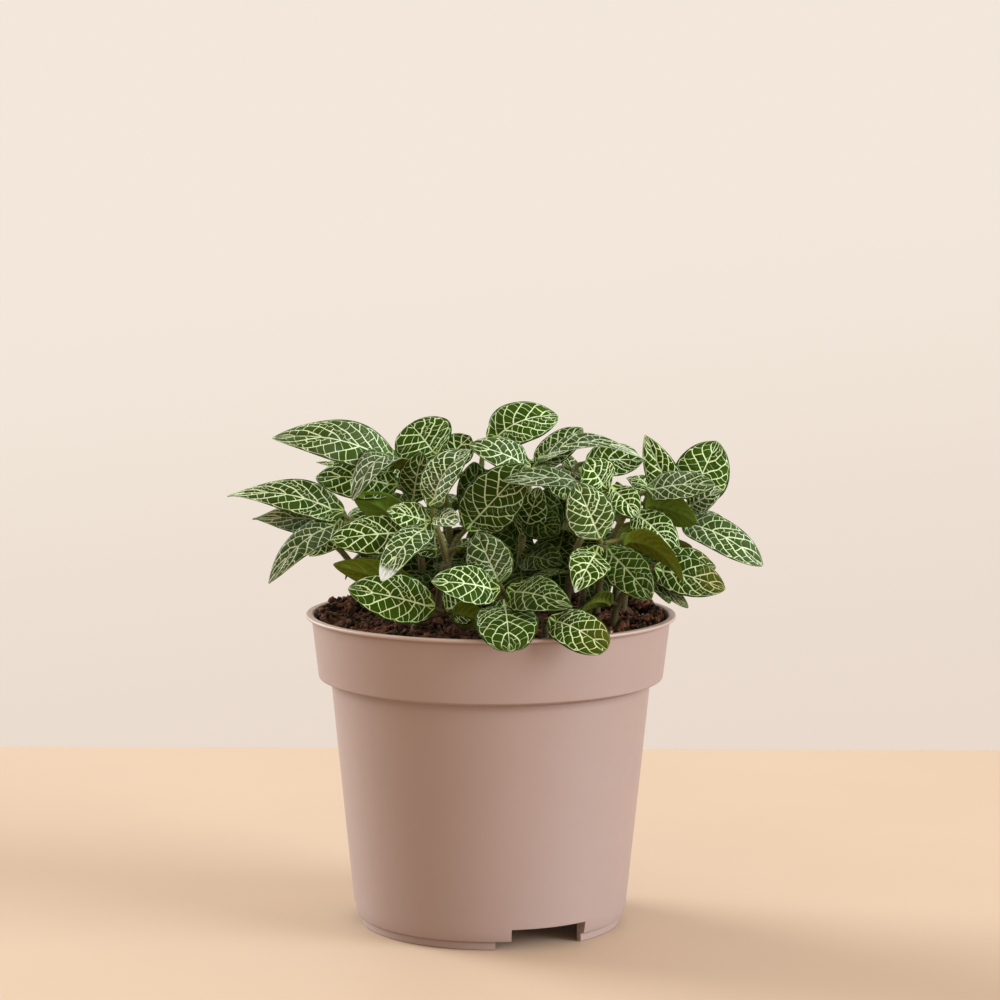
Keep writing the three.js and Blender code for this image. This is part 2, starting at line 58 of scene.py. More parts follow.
# The soil, the stems and the blades, as in the frame.
SOIL = dict(
    level=98.2, mound=3.4, slope=0.55, lumps=0.7, edge=55.9, bank=1.6, bank_front=-35.0, bank_back=5.0)
STEM = dict(foot_radius=1.45, tip_radius=0.95, depth=13.0, rise=0.55, slim=0.88, swell=0.14, node=0.025)
BLADE = dict(
    stalk=0.15, stalk_half=0.75, tip_half=0.35, base_shape=0.5, tip_shape=0.66, bend=0.45, opening=0.2,
    roll=0.16, wave=0.07, waves=9.0, wave_lag=1.7,
)
SPACING = dict(
    rounds=90, leaf_gap=6.4, stem_gap=5.2, ground_gap=2.6, hand_shift=5.0, fill_shift=16.0, hand_share=0.3,
    hand_yield=(0.45, 1.4, 0.45), leaf_push=0.12, stem_push=0.3, ground_push=0.25, longest_step=1.2,
    stem_step=3.0, rim_margin=2.0, centre=7,
)
# How the leaves of a pair vary by chance: a full range, or the least value and how much more it can be.
PAIR = dict(
    turn=24.0, lift=7.0, reach=(0.86, 0.28), width=(0.9, 0.2), arch=(0.12, 0.1), tilt=(22.0, 26.0), fold=8.0)

# Foot, tip, leaves and pairs of each shoot, as in the frame.
# A leaf is (stem fraction, tip x, y, z, width, tilt, turn, arch, fold), and may end with its stalk's share of
# its length and with the power by which its tip narrows.
# A pair is two opposite leaves: (stem fraction, direction, length, rise, width).
SHOOTS = [
    ((-12, -20), (-18, -30, 134.5),
     [(0.84, -50, -34, 128, 13.5, 62, -95, 0.10, 6, 0.34), (0.92, -33.5, -49, 117.5, 12, 60, -110, 0.18, 8),
      (0.95, -32.5, -33, 137.5, 10, 62, -100, 0.10, 6), (0.97, -10, -38, 134, 9, 64, -70, 0.20, 20),
      (1.00, -7, -24, 156, 15, 78, -128, 0.24, 22)],
     [(0.66, 190, 18, -3, 11)]),
    ((24, -12), (37, -22, 144),
     [(0.97, 29.5, -26, 153, 13.5, 62, -92, 0.12, 8), (1.00, 46, -31, 134, 11, 66, -80, 0.16, 8),
      (0.97, 3.5, -31, 147, 11, 34, -100, 0.10, 10)],
     [(0.7, 80, 19, 0, 11)]),
    ((28, -27), (35, -36, 128),
     [(0.98, 26.5, -37, 147, 15.5, 80, -90, 0.10, 8), (0.94, 26, -48, 114, 14, 72, -98, 0.14, 8, 0.15, 0.95),
      (0.97, 49.5, -47, 112, 14, 70, -84, 0.12, 6), (1.00, 60, -38, 116, 13, 52, 50, 0.26, 14)],
     [(0.55, 195, 19, 0, 13)]),
    ((4, -33), (4, -44, 113.5),
     [(0.94, -18, -56, 118.5, 13.5, 60, -100, 0.12, 6),
      (0.96, 25.5, -57, 110, 15, 58, -78, 0.12, 6, 0.15, 0.82),
      (1.00, -4.5, -35, 131, 15, 76, -92, 0.06, 10), (0.55, 6, -69, 99, 19.5, 44, -90, 0.16, 5, 0.15, 0.42)],
     []),
    ((-17, -9), (-10, -18, 128),
     [(0.98, 11, -22, 151, 18.5, 76, -80, 0.10, 8)],
     [(0.45, 70, 18, 0, 12), (0.7, 30, 16, 2, 11)]),
    ((-32, -5), (-46, -1, 132),
     [(0.96, -85, 8, 138, 13.5, 50, -100, 0.20, 10, 0.08, 1.15),
      (0.90, -78, 15, 130, 14, 62, -100, 0.10, 20, 0.08, 1.2),
      (0.94, -71, -13, 112, 12.5, 58, -120, 0.20, 8, 0.12, 0.8),
      (0.92, -59, 2, 119, 9, 60, -100, 0.10, 10, 0.15, 0.8)],
     [(0.5, 262, 20, -3, 13)]),
    ((-22, 4), (-28, 4, 146),
     [(1.00, -71, 5, 157, 16, 54, -95, 0.23, 8, 0.08, 0.8), (0.84, -58, 3, 143, 15, 60, -100, 0.18, 8),
      (0.94, -44, -16, 139, 13, 50, -120, 0.42, 14),
      (0.50, -46, -5, 137, 13, 62, 80, 0.10, 8), (0.75, -22, -8, 151, 12, 74, -95, 0.10, 8)],
     [(0.6, 100, 22, 4, 12)]),
    ((-13, 17), (-17, 20, 148),
     [(1.00, -27, 26, 160, 21, 66, -90, 0.14, 10, 0.15, 0.5), (0.96, -7, 25, 156, 12, 70, -90, 0.12, 8),
      (0.86, -38, 34, 146, 14, 40, 130, 0.14, 8), (0.42, -30, 11, 106, 16, 74, -95, 0.10, 8),
      (0.88, -28, 20, 147, 12, 70, -95, 0.10, 8)],
     [(0.6, 60, 22, 2, 12)]),
    ((-5, 14), (-3, 18, 151),
     [(1.00, 22, 22, 163, 18, 58, -110, 0.26, 8), (0.60, 5, 4, 107, 17, 74, -90, 0.10, 8),
      (0.42, -17, 8, 106, 16, 74, -95, 0.10, 8), (0.50, 14, 24, 121, 13, 76, -88, 0.10, 8),
      (0.55, -9, 12, 149, 13, 76, -90, 0.10, 8)],
     []),
    ((43, 3), (63, 4, 134),
     [(0.86, 86, -10, 120, 14, 52, -75, 0.18, 8), (0.99, 73.5, 10, 156, 18.5, 80, -90, 0.08, 8),
      (0.95, 47.5, 11, 156.5, 11.5, 72, -95, 0.10, 14, 0.15, 0.85), (1.00, 74, 0, 141, 9, 60, -70, 0.16, 18),
      (0.80, 76, 26, 128, 14, 40, 40, 0.18, 8)],
     [(0.55, 60, 20, -4, 12)]),
    ((39, -20), (49, -25, 119),
     [(0.96, 73, -34, 114, 14, 62, -85, 0.14, 8), (1.00, 71, -17, 118.5, 12, 58, -70, 0.14, 8),
      (0.84, 62, -30, 107, 8, 40, -60, 0.10, 8), (0.35, 25, -43, 108, 11, 55, 100, 0.10, 8)],
     []),
    ((-24, -29), (-14, -38, 106.5),
     [(0.98, -44, -46, 115, 16, 64, -95, 0.10, 10), (0.88, -49, -30, 121.5, 13, 56, 110, 0.12, 12),
      (1.00, -1, -41, 102, 11, 60, 80, 0.10, 10), (0.92, -5, -33, 110, 14, 62, -85, 0.10, 8)],
     []),
    ((17, -41), (17, -50, 105.5),
     [(0.98, 35, -65, 98.5, 14.5, 56, -85, 0.18, 8, 0.12, 0.45)],
     []),
    ((34, -7), (48, -6, 141),
     [(0.97, 71, -13, 144, 13, 44, -85, 0.10, 8), (0.84, 56.5, -19, 124.5, 13, 64, -80, 0.16, 8),
      (0.90, 67, -8, 129.5, 14, 58, 75, 0.12, 12)],
     [(0.5, 100, 18, 0, 11), (0.72, 290, 18, -2, 12)]),
    ((-41, 13), (-58, 20, 126), [],
     [(0.75, 190, 22, -2, 14), (0.96, 120, 20, 4, 12)]),
    ((-28, 24), (-40, 36, 138), [],
     [(0.5, 175, 18, -6, 13), (0.76, 250, 24, 2, 15), (0.97, 160, 20, 6, 12)]),
    ((-14, 33), (-18, 46, 139), [],
     [(0.45, 125, 22, -6, 14), (0.7, 60, 26, 0, 15), (0.92, 150, 22, 4, 13)]),
    ((8, 31), (10, 43, 145), [],
     [(0.45, 20, 24, -6, 14), (0.68, 110, 26, 0, 15), (0.92, 20, 22, 4, 13)]),
    ((25, 24), (33, 34, 143), [],
     [(0.5, 110, 21, -5, 13), (0.7, 15, 24, 0, 15), (0.92, 100, 20, 5, 13)]),
    ((41, 20), (56, 31, 133), [],
     [(0.5, 120, 24, -6, 14), (0.75, 30, 22, -2, 14), (0.96, 120, 20, 4, 11)]),
    ((-3, 45), (-4, 52, 121), [],
     [(0.6, 0, 22, -6, 13), (0.9, 90, 18, -2, 12)]),
    ((27, 40), (31, 47, 121), [],
     [(0.6, 330, 22, -6, 13), (0.9, 60, 18, 0, 12)]),
    ((-30, 39), (-37, 46, 120), [],
     [(0.6, 80, 18, -6, 13), (0.9, 170, 18, 0, 12)]),
    ((23, 9), (28, 10, 149),
     [(0.98, 50, 7, 149, 12, 62, -85, 0.12, 8), (0.52, 38, -3, 106, 17, 74, -85, 0.10, 8),
      (0.56, 18, 1, 106, 17, 76, -92, 0.10, 8), (0.72, 14, 10, 134, 12.5, 76, -92, 0.10, 8)],
     [(0.62, 130, 22, 0, 12), (0.85, 75, 19, 3, 12)]),
    ((9, -1), (13, 3, 147),
     [(0.66, 26, -10, 130, 13, 66, -85, 0.10, 8), (0.36, 26, -15, 118, 13, 62, -80, 0.10, 8),
      (0.50, 16, -9, 143, 11.5, 76, -90, 0.08, 8), (0.30, 11, -19, 106, 15, 75, -88, 0.08, 10),
      (0.97, -7, -7, 156, 12, 58, -100, 0.20, 10), (1.00, 50, 4, 150, 9, 30, -80, 0.26, 12, 0.08, 1.0),
      (0.95, 30, 14, 157.5, 11, 60, -100, 0.12, 8)],
     []),
]

# How the plant is finished.
VEINS = dict(
    pairs=6.6, pairs_vary=0.8, pairs_grow=0.05, usual_length=20.0, sweep=0.21, fan=0.38, curl=0.35,
    offset=0.03, crowding=0.8, behind=-0.7, wander=0.08, fine_wander=0.045, rung=2.45, rung_least=0.72,
    rung_grow=0.011, rung_slant=0.95, rung_wander=0.12, rung_uneven=0.13, rung_bend=0.13, loop=0.87,
)
# Half the width of each kind of vein. The midrib's goes from base to tip, and a side vein's from the midrib
# to the margin.
HALF_WIDTH = dict(midrib=(0.32, 0.14), side=(0.23, 0.13), zigzag=0.10, rung=0.10, loop=0.09)
# The share of a mesh by which the rungs of each strip are set on from those of the strip before.
STRIP_SHIFT = 0.618034
# A few leaves differ: (shoot, leaf) gives how old it is, which also paints shade on it, how much painted
# silvery sheen it has, how much painted white highlight its tip has and how brown its end. What is left out
# is 0.
LOOKS = {
    (1, 2): (0.35, 0.30, 1.0), (1, 4): (0.20, 0.80, 0.3), (1, 5): (0.35, 0.55),
    (2, 3): (0.65, 0.45),
    (3, 1): (0.00, 0.60), (3, 2): (0.15, 0.00, 0.4), (3, 3): (0.76,), (3, 4): (0.40, 0.60),
    (3, 5): (0.00, 0.20, 0.3),
    (4, 1): (0.34,), (4, 2): (0.66,), (4, 3): (0.60, 0.30), (4, 4): (0.40, 0.00, 0.0, 0.1),
    (5, 1): (0.48, 0.05, 0.0, 0.2),
    (6, 1): (0.25, 0.25), (6, 2): (0.85, 0.20, 0.0, 0.5), (6, 3): (0.55, 0.45),
    (7, 1): (0.00, 0.45), (7, 3): (0.50, 0.70), (7, 4): (0.00,), (7, 5): (0.55, 0.10),
    (8, 4): (1.00,), (8, 5): (0.70,),
    (9, 1): (0.15,), (9, 2): (1.00,), (9, 3): (1.00,), (9, 4): (1.00,), (9, 5): (0.80,),
    (10, 1): (0.10, 0.50), (10, 4): (0.50, 0.40),
    (11, 1): (0.50, 0.00, 0.0, 0.8), (11, 2): (0.55, 0.00, 0.0, 0.6), (11, 3): (0.75, 0.20, 0.0, 0.2),
    (11, 4): (1.00,),
    (12, 1): (0.10,), (12, 2): (0.45,),
    (13, 1): (0.25, 0.00, 0.0, 0.7),
    (14, 1): (0.50, 0.60), (14, 3): (0.00,),
    (24, 2): (1.00,), (24, 3): (1.00,), (24, 4): (0.90,),
    (25, 1): (1.00,), (25, 2): (1.00,), (25, 3): (0.40,), (25, 4): (1.00,), (25, 5): (0.10, 0.40, 0.0, 0.15),
    (25, 6): (0.50, 0.70), (25, 7): (0.55, 0.10),
}
# The age, and with it the painted shade, of a leaf whose value goes by its place on the stem.
BY_PLACE = -1.0
SKIN = dict(thickness=0.36, puff=0.34, groove=0.3, ridge=0.45, midrib=0.55, opening=0.1, stalk_rows=5)
HAIR = dict(length=1.1, radius=0.032, lean=0.45, on_stem=480, on_stalk=26)
# Where each kind of random draw starts.
SEEDS = dict(leaves=1000, hairs=200, peat=11, fibres=8, stones=5)
# The order of a shoot's materials.
UPPER, UNDERSIDE, STALK, HAIRY = range(4)
TINY = 1e-6

# Colours, as linear red, green and blue.
# The old colours stand for age and for painted shade alike, and so do the grown colours of the underside.
LEAF = dict(
    deep_young=(0.015, 0.038, 0.0008), deep_old_shaded=(0.005, 0.012, 0.0005),
    light_young=(0.050, 0.102, 0.003), light_old_shaded=(0.016, 0.030, 0.002),
    # The last colour here is a painted white highlight at a leaf's tip.
    margin=(0.020, 0.042, 0.002), stalk=(0.10, 0.14, 0.028), tip_glare=(0.76, 0.78, 0.74),
    vein_young=(0.66, 0.77, 0.42), vein_old_shaded=(0.13, 0.16, 0.045),
    base_vein_young=(0.40, 0.50, 0.16), base_vein_old_shaded=(0.08, 0.11, 0.02),
    # These two colours are a painted silvery sheen.
    painted_sheen=(0.110, 0.145, 0.075), painted_sheen_vein=(0.72, 0.76, 0.62),
    brown=(0.140, 0.120, 0.012), brown_vein=(0.48, 0.31, 0.13),
    under_young_dark=(0.110, 0.200, 0.016), under_young_light=(0.180, 0.290, 0.040),
    under_grown_shaded_dark=(0.095, 0.130, 0.004), under_grown_shaded_light=(0.170, 0.210, 0.012),
    under_old_shaded=(0.030, 0.042, 0.004), rib=(0.20, 0.25, 0.06),
)
TINT = dict(
    # The stems' last colour here is painted shade at their foot.
    stem_green=(0.12, 0.16, 0.03), stem_flush=(0.21, 0.13, 0.06), stem_shaded_foot=(0.052, 0.040, 0.014),
    # The hairs' last colour here is painted shade low down.
    hair_dark=(0.44, 0.34, 0.22), hair_light=(0.74, 0.66, 0.50), hair_shaded=(0.14, 0.085, 0.04),
    pot_dark=(0.312, 0.214, 0.185), pot_light=(0.337, 0.233, 0.203), pot_speck=(0.72, 0.62, 0.54),
    # The first colour here is painted shade for the creases, and the second a painted highlight on the lip.
    pot_crease_shade=(0.150, 0.090, 0.068), pot_lip_highlight=(0.450, 0.320, 0.250),
    peat_dark=(0.010, 0.005, 0.003), peat_light=(0.165, 0.074, 0.042), peat_red=(0.26, 0.098, 0.046),
    grit=((0.35, 0.25, 0.17), (0.75, 0.62, 0.47)), coir=((0.16, 0.055, 0.025), (0.36, 0.17, 0.09)),
    floor=((0.535, 0.375, 0.262), (0.575, 0.408, 0.288)),
    surround_low=(0.815, 0.700, 0.610), surround_high=(0.890, 0.800, 0.705),
)
# Heights between which painted shade darkens the pot's creases under the band, the lip and the skirt, and
# between which a painted highlight makes the lip paler, the stems lose their flush and their painted shade
# at the foot, and the hairs lose their painted shade.
CREASES = ((76.5, 79.4), (98.5, 99.6), (1.8, 2.8))
LIT_LIP, FLUSHED, SHADED_FOOT, SHADED_HAIRS = (99.9, 100.8), (100.0, 150.0), (104.0, 136.0), (106.0, 128.0)

# The loose things in the pot. Lumps are (depth, shortest wave, longest wave) and crumbs (count, least size,
# largest size).
PEAT = dict(
    rings=74, around=200, sunk=0.3, waves=14, lumps=((0.75, 4.0, 9.0), (0.4, 1.5, 3.0)),
    crumbs=((3400, 0.3, 0.75), (1000, 0.7, 1.4), (110, 1.5, 2.4)),
)
HEAP = dict(count=760, start=-22.0, end=202.0, depth=5.0, height=1.6)
STONES = dict(count=26, edge=53.0, sizes=(0.35, 0.8), largest=1.25, largest_at=(-38.5, -33.0))
FIBRES = dict(count=95, edge=49.0, reach=54.5, bend=0.9, length=(5, 20), lift=(0.3, 2.6), radius=(0.05, 0.12))

# The camera, in metres and degrees with its lens and sensor in millimetres, and the floor.
CAMERA = dict(place=(0.00278, -0.9635, 0.2411), pitch=6.13, roll=0.21, lens=108.0, sensor=36.0)
FLOOR = dict(side=2500.0, back=293.0, level=-0.05)


def smoothstep(x, low, high):
    """0 below low, 1 above high, and 3k squared minus 2k cubed in between, with k the share of the way."""
    k = np.clip((x - low) / (high - low), 0.0, 1.0)
    return k * k * (3 - 2 * k)


def unit(v):
    """Each vector divided by its length."""
    return v / np.linalg.norm(v, axis=-1, keepdims=True)


def drawer(seed):
    """Returns a function that gives numbers from 0 to 1 in an order that the seed fixes."""
    state = [seed]

    def draw():
        """The next number: the state times a factor, plus a step, within 32 bits."""
        state[0] = (state[0] * 1664525 + 1013904223) % 4294967296
        return state[0] / 4294967296

    return draw


def soil_height(x, y):
    """Height of the peat: a level, plus a mound that falls off with the square of the distance from the
    axis and rises towards the back, plus a bank against the back of the rim that grows with the fourth
    power of that distance, plus lumps that are products and sums of sines."""
    inward = 1 - (x * x + y * y) / SOIL["edge"] ** 2
    behind = smoothstep(y, SOIL["bank_front"], SOIL["bank_back"])
    bank = SOIL["bank"] * (1 - np.maximum(inward, 0)) ** 2 * behind
    mound = SOIL["mound"] * (np.maximum(inward, 0) + SOIL["slope"] * y / SOIL["edge"])
    lumps = np.sin(0.31 * x + 1.3) * np.sin(0.27 * y + 0.4) + 0.6 * np.sin(0.52 * x - 0.44 * y)
    return SOIL["level"] + mound + bank + SOIL["lumps"] * lumps


def stem_points(shoot, at):
    """Points at the fractions `at` of a stem, on a quadratic Bezier curve that leaves the foot straight
    up."""
    (x, y), tip = shoot[0], np.array(shoot[1], float)
    foot = np.array([x, y, soil_height(x, y)])
    bend = np.array([x, y, foot[2] + (tip[2] - foot[2]) * STEM["rise"]])
    at = np.asarray(at, float)[..., None]
    return (1 - at) ** 2 * foot + 2 * at * (1 - at) * bend + at**2 * tip


def facing(tilt, turn):
    """The unit vector tilted from straight up by `tilt` degrees towards the direction `turn`."""
    a, b = math.radians(tilt), math.radians(turn)
    return np.array([math.sin(a) * math.cos(b), math.sin(a) * math.sin(b), math.cos(a)])


def look_of(shoot, leaf):
    """The look of a leaf: its own, or one that goes by its place on the stem."""
    look = LOOKS.get((shoot + 1, leaf + 1), (BY_PLACE,))
    return np.array(look + (0.0,) * (4 - len(look)))


def placed_leaf(index, which, row, draw):
    """The record of a leaf that is placed one by one."""
    at, x, y, z, width, tilt, turn, arch, fold, *more = row
    return dict(
        look=look_of(index, which), index=index, node=-1, at=at, width=width, arch=arch, fold=fold,
        stalk=more[0] if more else BLADE["stalk"],
        taper=more[1] if len(more) > 1 else BLADE["tip_shape"],
        limit=SPACING["hand_shift"], share=SPACING["hand_share"],
        base=stem_points(SHOOTS[index], at), tip=np.array([x, y, z], float), face=facing(tilt, turn),
        wave=draw() * 2 * math.pi,
    )


def paired_leaf(index, pair, row, half, draw):
    """The record of one leaf of an opposite pair, the second of which is turned by half a circle."""

    def varied(least, more):
        """A chance value from the least to so much more."""
        return least + more * draw()

    at, direction, length, rise, width = row
    turn = direction + half + PAIR["turn"] * (draw() - 0.5)
    reach = length * varied(*PAIR["reach"])
    lift = rise + PAIR["lift"] * (draw() - 0.4)
    wide = width * varied(*PAIR["width"])
    arch = varied(*PAIR["arch"])
    heading = math.radians(turn)
    base = stem_points(SHOOTS[index], at)
    out = np.array([math.cos(heading) * reach, math.sin(heading) * reach, lift])
    return dict(
        look=np.array([BY_PLACE, 0.0, 0.0, 0.0]), index=index, node=pair, at=at, width=wide, arch=arch,
        fold=PAIR["fold"], stalk=BLADE["stalk"], taper=BLADE["tip_shape"],
        limit=SPACING["fill_shift"], share=1 - SPACING["hand_share"],
        base=base, tip=base + out, face=facing(varied(*PAIR["tilt"]), turn), wave=draw() * 2 * math.pi,
    )


def list_leaves():
    """Every leaf of every shoot as one record of arrays: those placed one by one, then the opposite
    pairs."""
    rows = []
    for index, (_, _, placed, pairs) in enumerate(SHOOTS):
        draw = drawer(SEEDS["leaves"] + index)
        rows += [placed_leaf(index, which, row, draw) for which, row in enumerate(placed)]
        for pair, row in enumerate(pairs):
            rows += [paired_leaf(index, pair, row, half, draw) for half in (0, 180)]
    leaves = {key: np.array([row[key] for row in rows]) for key in rows[0]}
    leaves["fold"] = np.radians(leaves["fold"].astype(float))
    return leaves


def one_leaf(leaves, which):
    """The record of arrays of a single leaf."""
    return {key: value[which: which + 1] for key, value in leaves.items()}


def leaf_curves(leaves):
    """The cross direction of each leaf, and the middle point of the Bezier curve that its midrib follows,
    which bows towards its face."""
    chord = leaves["tip"] - leaves["base"]
    length = np.linalg.norm(chord, axis=1, keepdims=True)
    along = chord / length
    up = unit(leaves["face"] - (leaves["face"] * along).sum(1, keepdims=True) * along)
    side = np.cross(up, along)
    middle = leaves["base"] + BLADE["bend"] * chord + 2 * leaves["arch"][:, None] * length * up
    return side, middle


def half_widths(leaves, s):
    """Half of each leaf's width at fractions s: a thin stalk, then u to one power times (1 - u) to
    another."""
    stalk = leaves["stalk"][:, None]
    u = np.clip((s - stalk) / (1 - stalk), 0, 1)
    a, b = BLADE["base_shape"], leaves["taper"][:, None]
    widest = a / (a + b)
    oval = u**a * (1 - u) ** b / (widest**a * (1 - widest) ** b)
    thin = BLADE["stalk_half"] + (BLADE["tip_half"] - BLADE["stalk_half"]) * s
    return np.maximum(oval * leaves["width"][:, None] / 2, thin)


def blade_points(leaves, s, t):
    """Points (leaf, row, column) of every blade, and the direction out of each blade at each row.
    Across the midrib's Bezier curve each half rises by the fold, rolls down with the square of t towards the
    margin, and waves with a sine along it."""
    side, middle = leaf_curves(leaves)
    base, middle, tip = leaves["base"][:, None], middle[:, None], leaves["tip"][:, None]
    k = s[None, :, None]
    midrib = (1 - k) ** 2 * base + 2 * k * (1 - k) * middle + k * k * tip
    tangent = unit((1 - k) * (middle - base) + k * (tip - middle))
    up = np.cross(tangent, side[:, None])
    half = half_widths(leaves, s[None, :])[..., None]
    stalk = leaves["stalk"][:, None]
    in_blade = smoothstep(s[None, :], stalk, stalk + BLADE["opening"])[..., None]
    fold = leaves["fold"][:, None, None] * in_blade
    t = t[None, None, :]
    phase = leaves["wave"][:, None, None] + np.where(t > 0, BLADE["wave_lag"], 0.0)
    wave = BLADE["wave"] * np.sin(BLADE["waves"] * s[None, :, None] + phase) * t * t
    rise = half * (np.sin(fold) * np.abs(t) + (wave - BLADE["roll"] * t * t) * in_blade)
    across = half * t * np.cos(fold)
    points = midrib[:, :, None] + side[:, None, None] * across[..., None] + up[:, :, None] * rise[..., None]
    return points, up


def shorten(v, longest):
    """Vectors cut to a longest length."""
    length = np.linalg.norm(v, axis=1, keepdims=True)
    return v * np.minimum(1, longest / np.maximum(length, TINY))


def weights(away, gap, push):
    """How much each vector between two points counts: 0 past the gap, and within it what is missing over its
    length."""
    distance = np.linalg.norm(away, axis=3)
    close = (distance < gap) & (distance > TINY)
    return np.where(close, push * (gap - distance) / np.maximum(distance, TINY), 0)


def push_of_leaves(leaves, samples, lever, pairs, share):
    """How the sample points of each two leaves push both tips apart."""
    first, second = pairs
    push = np.zeros_like(leaves["tip"])
    length = np.linalg.norm(leaves["tip"] - leaves["base"], axis=1)
    reach = (length[first] + length[second]) * 0.75 + SPACING["leaf_gap"]
    centre = samples[:, SPACING["centre"]]
    near = np.linalg.norm(centre[first] - centre[second], axis=1) <= reach
    a, b, part = first[near], second[near], share[near][:, None]
    away = samples[a][:, :, None] - samples[b][:, None]
    weight = weights(away, SPACING["leaf_gap"], SPACING["leaf_push"])
    np.add.at(push, a, np.einsum("pij,pijk,i->pk", weight, away, lever) * part)
    np.add.at(push, b, -np.einsum("pij,pijk,j->pk", weight, away, lever) * (1 - part))
    return push


def push_of_stems(samples, lever, stems, own_stem):
    """How the stems push each leaf, but for the near half of a leaf and its own stem."""
    away = samples[:, :, None] - stems
    weight = np.where(own_stem, 0, weights(away, SPACING["stem_gap"], SPACING["stem_push"]))
    return np.einsum("nij,nijk,i->nk", weight, away, lever)


def push_of_ground(samples, lever):
    """How much the soil and the rim lift each leaf that comes too close to them."""
    x, y, z = np.moveaxis(samples, -1, 0)
    radius = np.hypot(x, y)
    ground = np.where(radius < SOIL["edge"] - SPACING["rim_margin"], soil_height(x, y), POT["height"])
    short = np.maximum(ground + SPACING["ground_gap"] - z, 0)
    short = np.where(radius > POT["rim_radius"] + SPACING["ground_gap"], 0, short)
    return (SPACING["ground_push"] * short * lever).sum(1)


def stem_samples():
    """Points at even steps along each stem, and the number of the shoot that each belongs to."""
    stems, owner = [], []
    for index, shoot in enumerate(SHOOTS):
        steps = math.ceil((shoot[1][2] - SOIL["level"]) / SPACING["stem_step"])
        stems.append(stem_points(shoot, np.linspace(0, 1, steps + 1)))
        owner += [index] * (steps + 1)
    return np.concatenate(stems), np.array(owner)


def spread(leaves):
    """Bends leaves aside until each keeps its distance from the others, the stems, the soil and the rim.
    Roots stay and tips move. Sample points of two leaves that are closer than the gap push both tips apart,
    in proportion to what is missing and to how far out the sample lies. Leaves of one pair, or placed one
    by one on one stem, don't push each other, and those placed one by one give way more in depth than
    sideways."""
    s, t = np.array([0.3, 0.44, 0.58, 0.72, 0.86, 1.0]), np.array([-0.8, 0.0, 0.8])
    lever = np.repeat(s, len(t))
    count = len(leaves["tip"])
    stems, owner = stem_samples()
    own_stem = (leaves["index"][:, None, None] == owner) & (lever[None, :, None] < 0.5)
    yielding = np.where(leaves["node"][:, None] < 0, SPACING["hand_yield"], 1.0)
    a, b = np.triu_indices(count, 1)
    apart = (leaves["index"][a] != leaves["index"][b]) | (leaves["node"][a] != leaves["node"][b])
    a, b = a[apart], b[apart]
    share = leaves["share"][a] / (leaves["share"][a] + leaves["share"][b])
    home = leaves["tip"].copy()
    for _ in range(SPACING["rounds"]):
        samples = blade_points(leaves, s, t)[0].reshape(count, -1, 3)
        push = push_of_leaves(leaves, samples, lever, (a, b), share)
        push += push_of_stems(samples, lever, stems, own_stem)
        push[:, 2] += push_of_ground(samples, lever)
        leaves["tip"] += shorten(push * yielding, SPACING["longest_step"])
        leaves["tip"] = home + shorten(leaves["tip"] - home, leaves["limit"][:, None])


class Build:
    """Collects points, faces, attributes and the material of each face, and makes one mesh of them."""

    def __init__(self):
        """Starts with nothing collected."""
        self.points, self.faces, self.kinds, self.extras, self.count = [], [], [], [], 0

    def add(self, points, faces, kind, extra=None):
        """Adds points (n, 3), faces that index them, a material number or one for each face, and (n, 12)
        extras."""
        points = points.reshape(-1, 3)
        faces = faces if isinstance(faces, list) else [faces]
        self.points.append(points)
        self.extras.append(np.zeros((len(points), 12)) if extra is None else extra.reshape(-1, 12))
        self.faces += [part + self.count for part in faces]
        self.kinds.append(np.broadcast_to(kind, sum(len(part) for part in faces)))
        self.count += len(points)

    def mesh(self, name, materials, names=()):
        """Makes the object, in metres. `names` are the vector attributes that the extras fill, three
        each."""
        mesh = bpy.data.meshes.new(name)
        mesh.vertices.add(self.count)
        mesh.vertices.foreach_set("co", (np.concatenate(self.points) * MM).astype(np.float32).ravel())
        sizes = np.concatenate([np.full(len(f), f.shape[1]) for f in self.faces])
        mesh.loops.add(int(sizes.sum()))
        corners = np.concatenate([part.ravel() for part in self.faces])
        mesh.loops.foreach_set("vertex_index", corners.astype(np.int32))
        mesh.polygons.add(len(sizes))
        mesh.polygons.foreach_set("loop_start", (np.cumsum(sizes) - sizes).astype(np.int32))
        mesh.polygons.foreach_set("material_index", np.concatenate(self.kinds).astype(np.int32))
        mesh.polygons.foreach_set("use_smooth", np.ones(len(sizes), bool))
        extras = np.concatenate(self.extras).astype(np.float32)
        for k, label in enumerate(names):
            attribute = mesh.attributes.new(label, "FLOAT_VECTOR", "POINT")
            attribute.data.foreach_set("vector", extras[:, 3 * k: 3 * k + 3].ravel())
        mesh.update(calc_edges=True)
        mesh.validate()
        for material in materials:
            mesh.materials.append(material)
        piece = bpy.data.objects.new(name, mesh)
        bpy.context.scene.collection.objects.link(piece)
        return piece


def loop_faces(rings, around):
    """Quads of a closed tube of `rings` rings with `around` points, and the triangles that fan to its two
    end points, which are numbered after the rings' points."""
    r, c = np.meshgrid(np.arange(rings - 1), np.arange(around), indexing="ij")
    following = (c + 1) % around
    quads = np.stack(
        [r * around + c, (r + 1) * around + c, (r + 1) * around + following, r * around + following], -1)
    c = np.arange(around)
    following = (c + 1) % around
    start, end = rings * around, rings * around + 1
    last = (rings - 1) * around
    first_fan = np.stack([np.full(around, start), c, following], -1)
    last_fan = np.stack([np.full(around, end), last + following, last + c], -1)
    return [quads.reshape(-1, 4), first_fan, last_fan]


